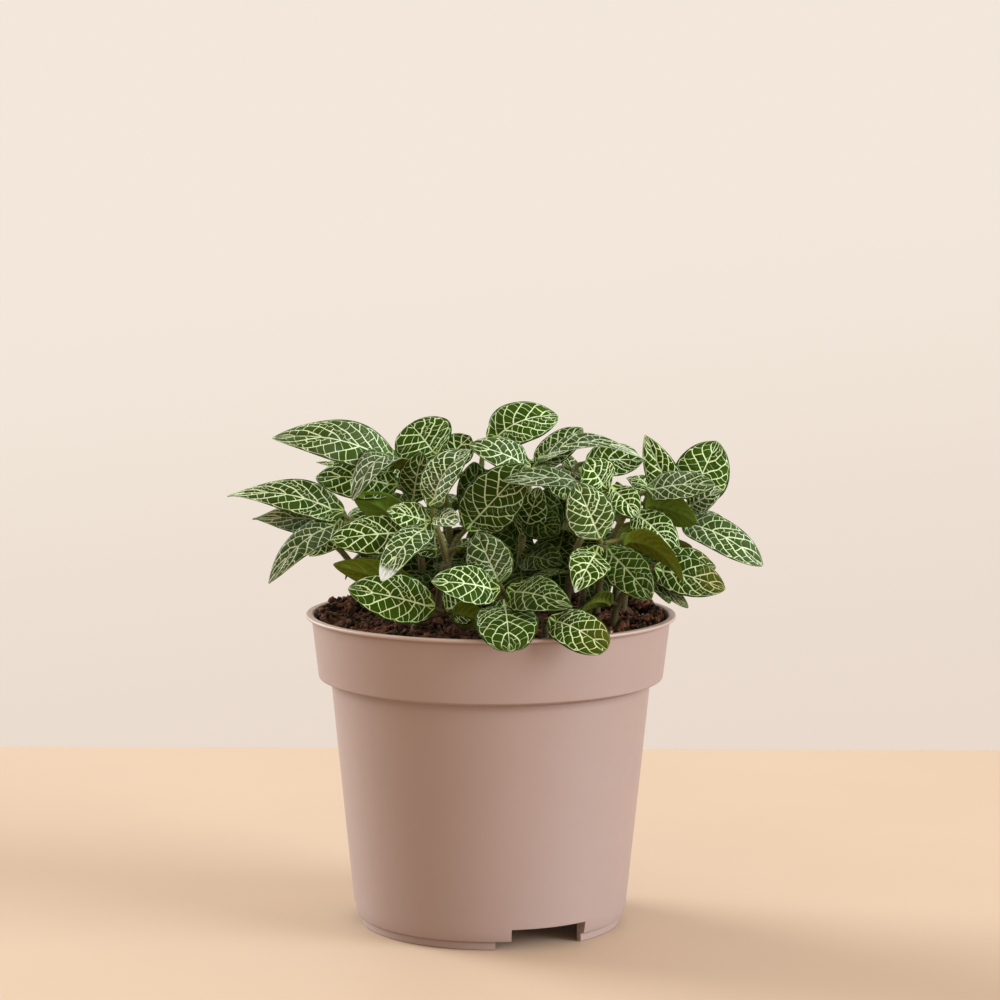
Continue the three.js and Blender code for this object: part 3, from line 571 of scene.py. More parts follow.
def tube(points, radii, around):
    """A closed round tube through the points: at each, a circle of the given radius across the direction
    from the point before to the point after."""
    tangent = unit(np.gradient(points, axis=0))
    guide = np.array([0.0, 1.0, 0.0]) if abs(tangent[0, 1]) < 0.9 else np.array([1.0, 0.0, 0.0])
    across = unit(np.cross(guide, tangent))
    over = np.cross(tangent, across)
    angle = np.linspace(0, 2 * np.pi, around, endpoint=False)[None, :, None]
    circle = np.cos(angle) * across[:, None] - np.sin(angle) * over[:, None]
    rings = points[:, None] + radii[:, None, None] * circle
    return np.concatenate([rings.reshape(-1, 3), points[:1], points[-1:]]), loop_faces(len(points), around)


def vein_field(leaf, u, t, half):
    """Coordinates of the vein net on a blade, as two phases and the slope of the first. Side veins are the
    whole numbers of the first phase. It grows with a power of u, after u is set back by a sweep that grows
    with t and curls round like a circle near the margin, and fans out towards the tip. Rungs are the whole
    numbers of the second: the length along the midrib plus part of the way out from it, over the rungs'
    distance, which grows with the leaf. Sines make both wander, and the square of a sine of the first phase
    bends each rung a little midway between two side veins."""
    v, seed = VEINS, leaf["wave"][0]
    length = np.linalg.norm(leaf["tip"][0] - leaf["base"][0]) * (1 - leaf["stalk"][0])
    pairs = v["pairs"] + v["pairs_vary"] * math.sin(3 * seed) + v["pairs_grow"] * (length - v["usual_length"])

    def phase(u, t):
        """The first phase."""
        out = np.abs(t)
        circle = (1 - np.sqrt(1 - (0.95 * out) ** 2)) / 0.69
        outward = (1 - v["curl"]) * out + v["curl"] * circle
        w = (u - v["sweep"] * outward) / (1 + v["fan"] * outward) + v["offset"] * t
        wander = v["wander"] * np.sin(8 * u + 4 * t + seed)
        wander = wander + v["fine_wander"] * np.sin(19 * u - 11 * t + 2 * seed)
        return pairs * np.where(w < 0, v["behind"], 1.0) * np.abs(w) ** v["crowding"] + wander

    first = phase(u, t)
    step = 0.004
    du = (phase(u + step, t) - phase(u - step, t)) / (2 * step * length)
    inner = np.clip(t, -1 + step, 1 - step)
    dt = (phase(u, inner + step) - phase(u, inner - step)) / (2 * step * np.maximum(half, 0.4))
    out = np.abs(t)
    rung = v["rung"] * (v["rung_least"] + v["rung_grow"] * length)
    second = (u * length + v["rung_slant"] * out * half * (1 - out / 2)) / rung
    uneven = v["rung_uneven"] * np.sin(2.6 * second + 3 * seed)
    second = second + v["rung_wander"] * np.sin(7 * t + 5 * u + seed) + uneven
    bend = np.sin(np.pi * first) ** 2 * np.sin(2.4 * np.floor(first) + np.sign(t) + seed)
    return first, second + v["rung_bend"] * bend, np.hypot(du, dt)


def puffed(first, second, t, across, seed):
    """How high the blade stands between its veins, from 0 to 1: sines of the two phases, a groove at the
    midrib."""
    strip = np.floor(first)
    shifted = second + (STRIP_SHIFT * strip + 0.37 * np.sign(t) + seed) % 1.0
    cell = np.abs(np.sin(np.pi * first)) ** 0.6 * (0.45 + 0.55 * np.abs(np.sin(np.pi * shifted)) ** 0.6)
    return cell * (1 - t**6) * smoothstep(np.abs(across), 0.1, 0.9)


def leaf_grid(stalk, rows, columns):
    """Fractions along a leaf, even on the stalk and a power of even ones on the blade, and across it, drawn
    together near the margins by a sine."""
    blade = stalk + (1 - stalk) * np.linspace(0, 1, rows) ** 1.15
    tau = np.linspace(-1, 1, columns)
    return (np.concatenate([np.linspace(0, stalk, SKIN["stalk_rows"] + 1)[:-1], blade]),
            0.7 * tau + 0.3 * np.sin(np.pi * tau / 2))


def skin_faces(points, up, half, u, t, blade, cells):
    """The upper and the lower face of a leaf. On the stalk the section is round, and on the blade the faces
    lie a thickness apart and meet at the margin. The upper face puffs up between the veins, with a groove
    over the midrib, and the lower has a ridge under it, both bell curves that fade towards the tip."""
    size = smoothstep(half, 0.8, 3.0)
    near_midrib = np.exp(-((half * t / SKIN["midrib"]) ** 2)) * blade
    lift = SKIN["puff"] * (cells - 0.5) * blade * size - SKIN["groove"] * near_midrib * size * (1 - 0.6 * u)
    lift = lift * np.minimum(1, 4 * (1 - np.abs(t)))
    round_profile = 2 * half * 0.9 * np.sqrt(np.maximum(1 - t**2, 0))
    thin_profile = SKIN["thickness"] * (1 - np.abs(t) ** 8)
    thick = (1 - blade) * round_profile + blade * thin_profile
    ridge = SKIN["ridge"] * near_midrib * (1 - 0.75 * u) * size
    return points + up * (lift + thick / 2)[..., None], points + up * (lift - thick / 2 - ridge)[..., None]


def skin_kinds(rows, columns):
    """The material of each face of a leaf's skin: the upper side, the underside, and the stalk's."""
    around = 2 * (columns - 1)
    kinds = np.zeros((rows - 1, around), int)
    kinds[:, columns - 1:] = UNDERSIDE
    kinds[:SKIN["stalk_rows"]] = STALK
    return np.concatenate([kinds.ravel(), np.full(around, STALK), np.full(around, UPPER)])


def add_leaf(build, leaf, rows, columns):
    """One leaf as a closed thin skin. Each section is a loop over the upper face from margin to margin and
    back under it. The twelve extras of a point are the vein net's two phases and chance; its place along
    and across the blade and its distance from the midrib; the slope, the age with its painted shade and the
    share of blade; and the look: the painted sheen, the painted white tip and the browned end."""
    s, t = leaf_grid(leaf["stalk"][0], rows, columns)
    points, up = blade_points(leaf, s, t)
    points, up = points[0], np.broadcast_to(up[0][:, None], points[0].shape)
    half = half_widths(leaf, s[None])[0][:, None]
    u = np.clip((s - leaf["stalk"][0]) / (1 - leaf["stalk"][0]), 0, 1)[:, None]
    blade = smoothstep(s, leaf["stalk"][0], leaf["stalk"][0] + SKIN["opening"])[:, None]
    t, seed = t[None, :], leaf["wave"][0]
    first, second, slope = vein_field(leaf, u, t, half)
    cells = puffed(first, second, t, half * t, seed)
    upper, lower = skin_faces(points, up, half, u, t, blade, cells)
    ring = np.concatenate([upper, lower[:, -2:0:-1]], axis=1)
    values = (first, second, seed, u, t, half * t, slope, leaf_age_and_shade(leaf), blade, *leaf["look"][0][1:])
    extra = np.stack([np.broadcast_to(value, first.shape) for value in values], -1)
    extra = np.concatenate([extra, extra[:, -2:0:-1]], axis=1)
    ends = np.stack([ring[0].mean(0), ring[-1].mean(0)])
    build.add(
        np.concatenate([ring.reshape(-1, 3), ends]), loop_faces(*ring.shape[:2]), skin_kinds(len(s), columns),
        np.concatenate([extra.reshape(-1, 12), extra[0, :1], extra[-1, :1]]))


def leaf_age_and_shade(leaf):
    """From 0 for a young leaf at the stem's tip to 1 for an old one low down, whose darker colour is partly
    painted shade, with a little chance, unless its look gives it."""
    age_and_shade = leaf["look"][0, 0]
    if age_and_shade >= 0:
        return age_and_shade
    chance = 0.5 + 0.5 * math.sin(5 * leaf["wave"][0])
    return smoothstep(1 - leaf["at"][0], 0.0, 0.62) * 0.85 + 0.22 * chance


def taper(at):
    """The stem's plain radius at the fractions `at`."""
    return STEM["foot_radius"] + (STEM["tip_radius"] - STEM["foot_radius"]) * at


def stem_radius(at, nodes):
    """The stem's radius at the fractions `at`: its taper, a little slimmer but for a bell curve at each leaf
    node."""
    swell = sum(np.exp(-(((at - node) / STEM["node"]) ** 2)) for node in nodes)
    return taper(at) * (STEM["slim"] + STEM["swell"] * np.minimum(swell, 1))


def add_stem(build, shoot, nodes):
    """The stem, from inside the soil to the growing tip, where it narrows to a blunt end."""
    at = np.linspace(0, 1, 60)
    points = stem_points(shoot, at)
    below = points[0] + np.array([[0, 0, -STEM["depth"]], [0, 0, -2.0]])
    radii = np.concatenate([[STEM["foot_radius"] * 0.9] * 2, stem_radius(at, nodes)])
    radii[-3:] *= np.array([0.9, 0.7, 0.4])
    build.add(*tube(np.concatenate([below, points]), radii, 12), STALK)


def add_hairs(build, roots, outward, draw):
    """Fine hairs as three-sided spikes with closed feet, each leaning at random from the way straight
    out."""
    count = len(roots)
    direction = unit(outward + draw.normal(0, HAIR["lean"], (count, 3)))
    length = HAIR["length"] * draw.uniform(0.5, 1.25, (count, 1))
    across = unit(np.cross(direction, unit(draw.normal(size=(count, 3)))))
    over = np.cross(direction, across)
    angle = np.array([0, 2, 4])[None, :, None] * np.pi / 3
    foot = roots[:, None] + HAIR["radius"] * (np.cos(angle) * across[:, None] + np.sin(angle) * over[:, None])
    points = np.concatenate([foot, (roots + direction * length)[:, None]], axis=1)
    corners = np.array([[0, 1, 3], [1, 2, 3], [2, 0, 3], [0, 2, 1]])
    faces = (4 * np.arange(count)[:, None, None] + corners).reshape(-1, 3)
    build.add(points, faces, HAIRY)


def hairs_of(build, shoot, leaves, own, draw):
    """Hairs all round the stem above the soil, more of them higher up, and along the leaf stalks."""
    at = 0.2 + 0.8 * draw.uniform(0, 1, HAIR["on_stem"]) ** 0.7
    centre = stem_points(shoot, at)
    tangent = unit(stem_points(shoot, np.minimum(at + 0.01, 1.01)) - centre)
    spin = unit(np.cross(tangent, unit(draw.normal(size=(len(at), 3)))))
    add_hairs(build, centre + spin * taper(at)[:, None] * 0.85, spin, draw)
    for which in own:
        leaf = one_leaf(leaves, which)
        s = np.sort(draw.uniform(0.03, leaf["stalk"][0] + 0.08, HAIR["on_stalk"]))
        points, up = blade_points(leaf, s, np.array([-0.6, 0.0, 0.6]))
        column = draw.integers(0, 3, len(s))
        roots = points[0][np.arange(len(s)), column]
        below = draw.uniform(size=(len(s), 1)) < 0.5
        outward = np.where(below, -up[0], up[0]) + 0.5 * (roots - points[0][:, 1])
        add_hairs(build, roots, unit(outward), draw)


# Shader building


def socket(tree, value, target):
    """Joins an output to an input, or sets the input to a plain value."""
    if isinstance(value, bpy.types.NodeSocket):
        tree.links.new(value, target)
    else:
        target.default_value = value


def math_node(tree, operation, *values, clamp=False):
    """A Math node's output."""
    node = tree.nodes.new("ShaderNodeMath")
    node.operation = operation
    node.use_clamp = clamp
    for k, value in enumerate(values):
        socket(tree, value, node.inputs[k])
    return node.outputs[0]


def ramp(tree, value, low, high, start=0.0, end=1.0):
    """A smooth step of a value between low and high, from start to end."""
    node = tree.nodes.new("ShaderNodeMapRange")
    node.interpolation_type = "SMOOTHSTEP"
    for k, given in enumerate((value, low, high, start, end)):
        socket(tree, given, node.inputs[k])
    return node.outputs[0]


def mix(tree, share, a, b, blend="MIX"):
    """A colour mix."""
    node = tree.nodes.new("ShaderNodeMix")
    node.data_type = "RGBA"
    node.blend_type = blend
    socket(tree, share, node.inputs[0])
    socket(tree, a if not isinstance(a, tuple) else (*a, 1.0), node.inputs[6])
    socket(tree, b if not isinstance(b, tuple) else (*b, 1.0), node.inputs[7])
    return node.outputs[2]


def noise(tree, vector, scale, detail=2.0, roughness=0.5):
    """A noise texture's value."""
    node = tree.nodes.new("ShaderNodeTexNoise")
    tree.links.new(vector, node.inputs["Vector"])
    node.inputs["Scale"].default_value = scale
    node.inputs["Detail"].default_value = detail
    node.inputs["Roughness"].default_value = roughness
    return node.outputs["Fac"]


def object_place(tree):
    """Object coordinates, in metres."""
    return tree.nodes.new("ShaderNodeTexCoord").outputs["Object"]


def split(tree, vector):
    """The three parts of a vector."""
    node = tree.nodes.new("ShaderNodeSeparateXYZ")
    tree.links.new(vector, node.inputs[0])
    return node.outputs


def attribute(tree, name):
    """A vector attribute of the mesh, in parts."""
    node = tree.nodes.new("ShaderNodeAttribute")
    node.attribute_name = name
    return split(tree, node.outputs["Vector"])


def bump(tree, height, strength, distance):
    """A Bump node's normal."""
    node = tree.nodes.new("ShaderNodeBump")
    node.inputs["Strength"].default_value = strength
    node.inputs["Distance"].default_value = distance
    tree.links.new(height, node.inputs["Height"])
    return node.outputs["Normal"]


def new_material(name, roughness=0.5, **settings):
    """A material with one Principled shader, whose plain values are set on its own sockets."""
    material = bpy.data.materials.new(name)
    material.use_nodes = True
    shader = material.node_tree.nodes["Principled BSDF"]
    shader.inputs["Roughness"].default_value = roughness
    for key, value in settings.items():
        shader.inputs[key.replace("_", " ")].default_value = value
    return material, material.node_tree, shader


def new_group(name, inputs, outputs):
    """A shader node group with float sockets, and its input and output nodes."""
    tree = bpy.data.node_groups.new(name, "ShaderNodeTree")
    for label in inputs:
        tree.interface.new_socket(name=label, in_out="INPUT", socket_type="NodeSocketFloat")
    for label in outputs:
        tree.interface.new_socket(name=label, in_out="OUTPUT", socket_type="NodeSocketFloat")
    return tree, tree.nodes.new("NodeGroupInput").outputs, tree.nodes.new("NodeGroupOutput").inputs


def line(tree, distance, width):
    """1 on a line of that half width and 0 beside it, with a soft edge."""
    inner = math_node(tree, "MULTIPLY", width, 0.65)
    outer = math_node(tree, "MULTIPLY", width, 1.25)
    return ramp(tree, distance, inner, outer, 1.0, 0.0)


def to_whole(tree, phase):
    """How far a phase is from the nearest whole number."""
    part = math_node(tree, "FRACT", phase)
    return math_node(tree, "MINIMUM", part, math_node(tree, "SUBTRACT", 1.0, part))


def chance_node(tree, *values):
    """A number from 0 to 1 that is fixed for each set of values."""
    cell = tree.nodes.new("ShaderNodeCombineXYZ")
    for k, value in enumerate(values):
        socket(tree, value, cell.inputs[k])
    node = tree.nodes.new("ShaderNodeTexWhiteNoise")
    tree.links.new(cell.outputs[0], node.inputs["Vector"])
    return node.outputs["Value"]


def strips(tree, first, second, across, seed):
    """The strips between side veins: the rungs' phase, shifted in each strip and on each half of the blade;
    how far a point is from the strip's zigzag middle; whether a thin vein halves the strip there; a chance
    value for each mesh of the net; and how strong the nearest rung is."""
    calc = partial(math_node, tree)
    own = calc("ADD", calc("SIGN", across), seed)
    strip = calc("FLOOR", first)
    shifted = calc("ADD", second, calc("FRACT", calc("MULTIPLY_ADD", strip, STRIP_SHIFT, own)))
    zigzag = calc("MULTIPLY", calc("SINE", calc("MULTIPLY", shifted, 2 * math.pi)), 0.07)
    from_middle = calc("SUBTRACT", calc("SUBTRACT", calc("FRACT", first), 0.5), zigzag)
    halved = calc("GREATER_THAN", chance_node(tree, strip, own, 3.0), 0.82)
    beyond = calc("MULTIPLY", calc("GREATER_THAN", from_middle, 0.0), halved)
    shifted = calc("MULTIPLY_ADD", beyond, 0.5, shifted)
    part = calc("ADD", strip, calc("MULTIPLY", beyond, 0.5))
    chance = chance_node(tree, part, calc("FLOOR", shifted), own)
    nearest = calc("FLOOR", calc("ADD", shifted, 0.5))
    strength = ramp(tree, chance_node(tree, strip, nearest, own), 0.02, 0.25, 0.45, 1.0)
    return shifted, from_middle, halved, chance, strength


def scalloped(tree, first, reach, out, wide):
    """The scalloped loops inside the margin, from a sine of the side veins' phase; a mask of the blade
    inside them; and a mask that fades from them towards the margin."""
    calc = partial(math_node, tree)
    scallop = calc("MULTIPLY", calc("ABSOLUTE", calc("SINE", calc("MULTIPLY", first, math.pi))), 0.06)
    past = calc("SUBTRACT", reach, calc("ADD", scallop, VEINS["loop"]))
    half = calc("DIVIDE", calc("ABSOLUTE", out), calc("MAXIMUM", reach, 0.05))
    width = calc("MULTIPLY", wide, HALF_WIDTH["loop"])
    loop = line(tree, calc("MULTIPLY", calc("ABSOLUTE", past), half), width)
    loop = calc("MULTIPLY", loop, ramp(tree, half, 0.8, 2.0))
    inside = ramp(tree, past, -0.01, 0.02, 1.0, 0.0)
    fading = calc("MULTIPLY", ramp(tree, past, 0.0, 0.09, 0.7, 0.0), calc("SUBTRACT", 1.0, inside))
    return loop, inside, fading


def vein_group():
    """The net of veins, from the blade's attributes: the midrib, the side veins, rungs between them, in
    some strips a thin zigzag vein midway that the rungs meet by turns, and scalloped loops inside the
    margin. It gives the vein mask, a chance value for each mesh of the net, and the share of the way to the
    margin."""
    names = ("First", "Second", "Seed", "Along", "Across", "Out", "Slope", "Wide")
    tree, given, result = new_group("vein_net", names, ("Vein", "Chance", "Edge"))
    first, second, seed, along, across, out, slope, wide = (given[name] for name in names)
    calc = partial(math_node, tree)
    reach = calc("ABSOLUTE", across)
    shifted, from_middle, halved, chance, strength = strips(tree, first, second, across, seed)
    loop, inside, fading = scalloped(tree, first, reach, out, wide)

    def drawn(distance, width):
        """A vein of that half width at that distance."""
        return line(tree, distance, calc("MULTIPLY", wide, width))

    midrib = drawn(calc("ABSOLUTE", out), ramp(tree, along, 0.0, 1.0, *HALF_WIDTH["midrib"]))
    side_width = ramp(tree, reach, 0.0, 1.0, *HALF_WIDTH["side"])
    side_vein = drawn(calc("DIVIDE", to_whole(tree, first), slope), side_width)
    side_vein = calc("MULTIPLY", side_vein, ramp(tree, along, 0.90, 0.97, 1.0, 0.25))
    middle_vein = drawn(calc("DIVIDE", calc("ABSOLUTE", from_middle), slope), HALF_WIDTH["zigzag"])
    middle_vein = calc("MULTIPLY", middle_vein, halved)
    rung = drawn(calc("MULTIPLY", to_whole(tree, shifted), VEINS["rung"] / 1.15), HALF_WIDTH["rung"])
    rung = calc("MULTIPLY", rung, calc("MULTIPLY", strength, ramp(tree, reach, 0.02, 0.16)))
    rung = calc("MULTIPLY", rung, ramp(tree, first, -1.2, 0.0, 0.2, 1.0))
    inner_net = calc("MULTIPLY", calc("MAXIMUM", side_vein, calc("MAXIMUM", rung, middle_vein)), inside)
    net = calc("MAXIMUM", inner_net, calc("MULTIPLY", rung, fading))
    socket(tree, calc("MAXIMUM", net, calc("MAXIMUM", loop, midrib)), result["Vein"])
    socket(tree, chance, result["Chance"])
    socket(tree, ramp(tree, reach, 0.9, 1.0), result["Edge"])
    return tree


def use_group(tree, group, values):
    """Places a node group with its inputs."""
    node = tree.nodes.new("ShaderNodeGroup")
    node.node_tree = group
    for key, value in values.items():
        socket(tree, value, node.inputs[key])
    return node.outputs


def grain_group():
    """Fine grain, as a height: a noise on object coordinates."""
    names = ("Scale", "Detail", "Roughness")
    tree, given, result = new_group("fine_grain", names, ("Height",))
    node = tree.nodes.new("ShaderNodeTexNoise")
    tree.links.new(object_place(tree), node.inputs["Vector"])
    for name in names:
        tree.links.new(given[name], node.inputs[name])
    tree.links.new(node.outputs["Fac"], result["Height"])
    return tree


def fine_grain(tree, scale, detail=2.0, roughness=0.5):
    """The height of the grain group, which is built once, with a material's own values."""
    group = bpy.data.node_groups.get("fine_grain") or grain_group()
    return use_group(tree, group, dict(Scale=scale, Detail=detail, Roughness=roughness))["Height"]


def leaf_nodes(tree, group, widen):
    """What a leaf's materials read: its attributes, and its vein net with the veins' width varied by a
    noise."""
    first, second, seed = attribute(tree, "net")
    along, across, out = attribute(tree, "blade")
    slope, age_and_shade, blade = attribute(tree, "grain")
    place = object_place(tree)
    wide = math_node(tree, "MULTIPLY", ramp(tree, noise(tree, place, 420.0), 0.3, 0.7, 0.8, 1.2), widen)
    wide = math_node(tree, "MULTIPLY", wide, ramp(tree, along, 0.7, 1.0, 1.0, 0.55))
    net = use_group(tree, group, dict(
        First=first, Second=second, Seed=seed, Along=along, Across=across, Out=out, Slope=slope, Wide=wide))
    return dict(net=net, place=place, along=along, age_and_shade=age_and_shade, blade=blade)


def mesh_colour(tree, leaf, painted_sheen, browned):
    """The green between the veins: deeper with age and with painted shade, lighter by chance, duller at the
    margin, paler in a painted silvery sheen, and olive at a browned end."""
    net, age_and_shade = leaf["net"], leaf["age_and_shade"]
    deep = mix(tree, age_and_shade, LEAF["deep_young"], LEAF["deep_old_shaded"])
    light = mix(tree, age_and_shade, LEAF["light_young"], LEAF["light_old_shaded"])
    mottle = math_node(tree, "MULTIPLY", noise(tree, leaf["place"], 260.0, 3.0), 0.5)
    share = math_node(tree, "ADD", math_node(tree, "MULTIPLY", net["Chance"], 0.45), mottle, clamp=True)
    colour = mix(tree, share, deep, light)
    colour = mix(tree, math_node(tree, "MULTIPLY", net["Edge"], 0.5), colour, LEAF["margin"])
    colour = mix(tree, painted_sheen, colour, LEAF["painted_sheen"])
    return mix(tree, math_node(tree, "MULTIPLY", browned, 0.4), colour, LEAF["brown"])


def vein_colour(tree, leaf, painted_sheen, browned):
    """The veins: cream, duller with age and with painted shade, green at the blade's base, whiter in a
    painted sheen and tan at a browned end."""
    aged_and_shaded = ramp(tree, leaf["age_and_shade"], 0.2, 1.0)
    pale = mix(tree, aged_and_shaded, LEAF["vein_young"], LEAF["vein_old_shaded"])
    pale = mix(tree, painted_sheen, pale, LEAF["painted_sheen_vein"])
    greenish = mix(tree, aged_and_shaded, LEAF["base_vein_young"], LEAF["base_vein_old_shaded"])
    colour = mix(tree, ramp(tree, leaf["along"], 0.0, 0.22), greenish, pale)
    return mix(tree, browned, colour, LEAF["brown_vein"])


def tip_glare_mask(tree, leaf, white):
    """A painted white highlight at a leaf's tip, with a ragged edge, which reaches further down the whiter
    the tip is.
    """
    ragged = math_node(tree, "MULTIPLY_ADD", noise(tree, leaf["place"], 900.0, 3.0), 0.12, leaf["along"])
    start = math_node(tree, "MULTIPLY_ADD", white, -0.18, 1.06)
    full = math_node(tree, "MULTIPLY_ADD", white, -0.06, 1.06)
    tip_glare = ramp(tree, ragged, start, full)
    return math_node(tree, "MULTIPLY", tip_glare, ramp(tree, white, 0.0, 0.2, 0.0, 0.9))


def leaf_upper(group):
    """The veined upper face, satin, with sunken veins. Some leaves have a painted silvery sheen in patches, a
    painted white highlight at the tip or a browned end."""
    material, tree, shader = new_material("leaf_upper", 0.5, Specular_IOR_Level=0.03)
    leaf = leaf_nodes(tree, group, 1.0)
    place, vein = leaf["place"], leaf["net"]["Vein"]
    sheen_amount, white, brown = attribute(tree, "look")
    patches = ramp(tree, noise(tree, place, 110.0, 2.0), 0.35, 0.65)
    # A painted silvery sheen in noise patches.
    painted_sheen = math_node(tree, "MULTIPLY", sheen_amount, ramp(tree, patches, 0.0, 1.0, 0.25, 0.75))
    far = math_node(tree, "MULTIPLY", ramp(tree, leaf["along"], 0.45, 0.95), patches)
    browned = math_node(tree, "MULTIPLY", brown, far)
    colour = mix(tree, vein, mesh_colour(tree, leaf, painted_sheen, browned), vein_colour(tree, leaf, painted_sheen, browned))
    # A painted white highlight at the tip.
    colour = mix(tree, tip_glare_mask(tree, leaf, white), colour, LEAF["tip_glare"])
    colour = mix(tree, ramp(tree, leaf["blade"], 0.0, 0.3), LEAF["stalk"], colour)
    tree.links.new(colour, shader.inputs["Base Color"])
    rough = ramp(tree, noise(tree, place, 1500.0, 2.0), 0.3, 0.7, 0.40, 0.56)
    tree.links.new(rough, shader.inputs["Roughness"])
    fine = math_node(tree, "MULTIPLY", fine_grain(tree, 2600.0), 0.30)
    height = math_node(tree, "ADD", math_node(tree, "MULTIPLY", vein, -1.0), fine)
    tree.links.new(bump(tree, height, 0.55, 0.00022), shader.inputs["Normal"])
    return material


def leaf_under(group):
    """The plain olive underside, with faint paler ribs, darker with age and with painted shade."""
    material, tree, shader = new_material("leaf_under", 0.6, Specular_IOR_Level=0.03)
    leaf = leaf_nodes(tree, group, 1.5)
    age_and_shade, vein = leaf["age_and_shade"], leaf["net"]["Vein"]
    mottle = noise(tree, leaf["place"], 180.0, 3.0)
    young = mix(tree, mottle, LEAF["under_young_dark"], LEAF["under_young_light"])
    grown = mix(tree, mottle, LEAF["under_grown_shaded_dark"], LEAF["under_grown_shaded_light"])
    # Age and painted shade darken the underside.
    colour = mix(tree, ramp(tree, age_and_shade, 0.0, 0.3), young, grown)
    colour = mix(tree, math_node(tree, "MULTIPLY", age_and_shade, 0.7), colour, LEAF["under_old_shaded"])
    colour = mix(tree, math_node(tree, "MULTIPLY", vein, 0.30), colour, LEAF["rib"])
    colour = mix(tree, leaf["blade"], LEAF["stalk"], colour)
    tree.links.new(colour, shader.inputs["Base Color"])
    tree.links.new(bump(tree, vein, 0.5, 0.0002), shader.inputs["Normal"])
    return material


def by_height(tree, height, span, start, end):
    """A smooth step between two heights in millimetres."""
    return ramp(tree, height, span[0] * MM, span[1] * MM, start, end)


def stem_skin():
    """Green stem flushed with pink brown, more so low down, and darkened near the peat by painted shade."""
    material, tree, shader = new_material("stem_skin", 0.7, Specular_IOR_Level=0.15)
    place = object_place(tree)
    height = split(tree, place)[2]
    flush = math_node(tree, "MULTIPLY", by_height(tree, height, FLUSHED, 1.0, 0.25),
                      ramp(tree, noise(tree, place, 160.0, 3.0), 0.3, 0.7, 0.4, 1.0))
    colour = mix(tree, flush, TINT["stem_green"], TINT["stem_flush"])
    # Painted shade darkens the stem near the peat.
    colour = mix(tree, by_height(tree, height, SHADED_FOOT, 0.8, 0.0), colour, TINT["stem_shaded_foot"])
    tree.links.new(colour, shader.inputs["Base Color"])
    tree.links.new(bump(tree, fine_grain(tree, 1400.0), 0.4, 0.0002), shader.inputs["Normal"])
    return material


def hair_white():
    """Pale silky hairs, darker and browner low down by painted shade."""
    material, tree, shader = new_material("hair_white", 0.6, Specular_IOR_Level=0.2)
    place = object_place(tree)
    colour = mix(tree, noise(tree, place, 300.0), TINT["hair_dark"], TINT["hair_light"])
    # Painted shade darkens the hairs low down.
    low_shade = by_height(tree, split(tree, place)[2], SHADED_HAIRS, 0.85, 0.0)
    colour = mix(tree, low_shade, colour, TINT["hair_shaded"])
    tree.links.new(colour, shader.inputs["Base Color"])
    return material


def specks(tree, place):
    """A mask of tiny dots: the middles of a few cells of a Voronoi texture, picked by chance."""
    cells = tree.nodes.new("ShaderNodeTexVoronoi")
    cells.inputs["Scale"].default_value = 130.0
    tree.links.new(place, cells.inputs["Vector"])
    rare = math_node(tree, "GREATER_THAN", split(tree, cells.outputs["Color"])[0], 0.93)
    return math_node(tree, "MULTIPLY", ramp(tree, cells.outputs["Distance"], 0.025, 0.05, 1.0, 0.0), rare)


def pot_plastic():
    """Matt taupe moulded plastic: slightly mottled, with fine grain, tiny pale specks, a lip made paler by a
    painted highlight, and painted shade that darkens the creases under the lip, the band and the skirt."""
    material, tree, shader = new_material("pot_taupe", 0.5)
    place = object_place(tree)
    colour = mix(tree, noise(tree, place, 22.0, 4.0, 0.6), TINT["pot_dark"], TINT["pot_light"])
    dot = specks(tree, place)
    colour = mix(tree, math_node(tree, "MULTIPLY", dot, 0.5), colour, TINT["pot_speck"])
    height = split(tree, place)[2]
    # Painted shade in the creases under the band, the lip and the skirt.
    for low, high in CREASES:
        under = math_node(tree, "LESS_THAN", height, high * MM)
        crease_shade = math_node(tree, "MULTIPLY", by_height(tree, height, (low, high), 0.0, 0.35), under)
        colour = mix(tree, crease_shade, colour, TINT["pot_crease_shade"])
    # The paler lip is a painted highlight.
    colour = mix(tree, by_height(tree, height, LIT_LIP, 0.0, 0.8), colour, TINT["pot_lip_highlight"])
    tree.links.new(colour, shader.inputs["Base Color"])
    rough = ramp(tree, noise(tree, place, 60.0, 3.0), 0.3, 0.7, 0.44, 0.56)
    tree.links.new(rough, shader.inputs["Roughness"])
    relief = math_node(tree, "MULTIPLY_ADD", dot, 2.0, fine_grain(tree, 1800.0))
    tree.links.new(bump(tree, relief, 0.18, 0.0001), shader.inputs["Normal"])
    return material


def peat_skin():
    """Dark brown damp peat, with redder and blacker crumbs."""
    material, tree, shader = new_material("peat", 0.9, Specular_IOR_Level=0.1)
    place = object_place(tree)
    coarse = noise(tree, place, 300.0, 4.0, 0.7)
    colour = mix(tree, ramp(tree, coarse, 0.40, 0.68), TINT["peat_dark"], TINT["peat_light"])
    red = ramp(tree, noise(tree, place, 130.0, 2.0), 0.5, 0.68)
    colour = mix(tree, math_node(tree, "MULTIPLY", red, 0.6), colour, TINT["peat_red"])
    tree.links.new(colour, shader.inputs["Base Color"])
    tree.links.new(bump(tree, fine_grain(tree, 1500.0, 4.0, 0.7), 0.9, 0.0006), shader.inputs["Normal"])
    return material


def plain_skin(name, tints, scale, roughness):
    """A two-tone surface with a fine grain, for fibres, stones and the floor."""
    material, tree, shader = new_material(name, roughness)
    place = object_place(tree)
    colour = mix(tree, noise(tree, place, scale, 3.0), *tints)
    tree.links.new(colour, shader.inputs["Base Color"])
    tree.links.new(bump(tree, fine_grain(tree, scale * 4, 3.0), 0.3, 0.0002), shader.inputs["Normal"])
    return material


# The pot


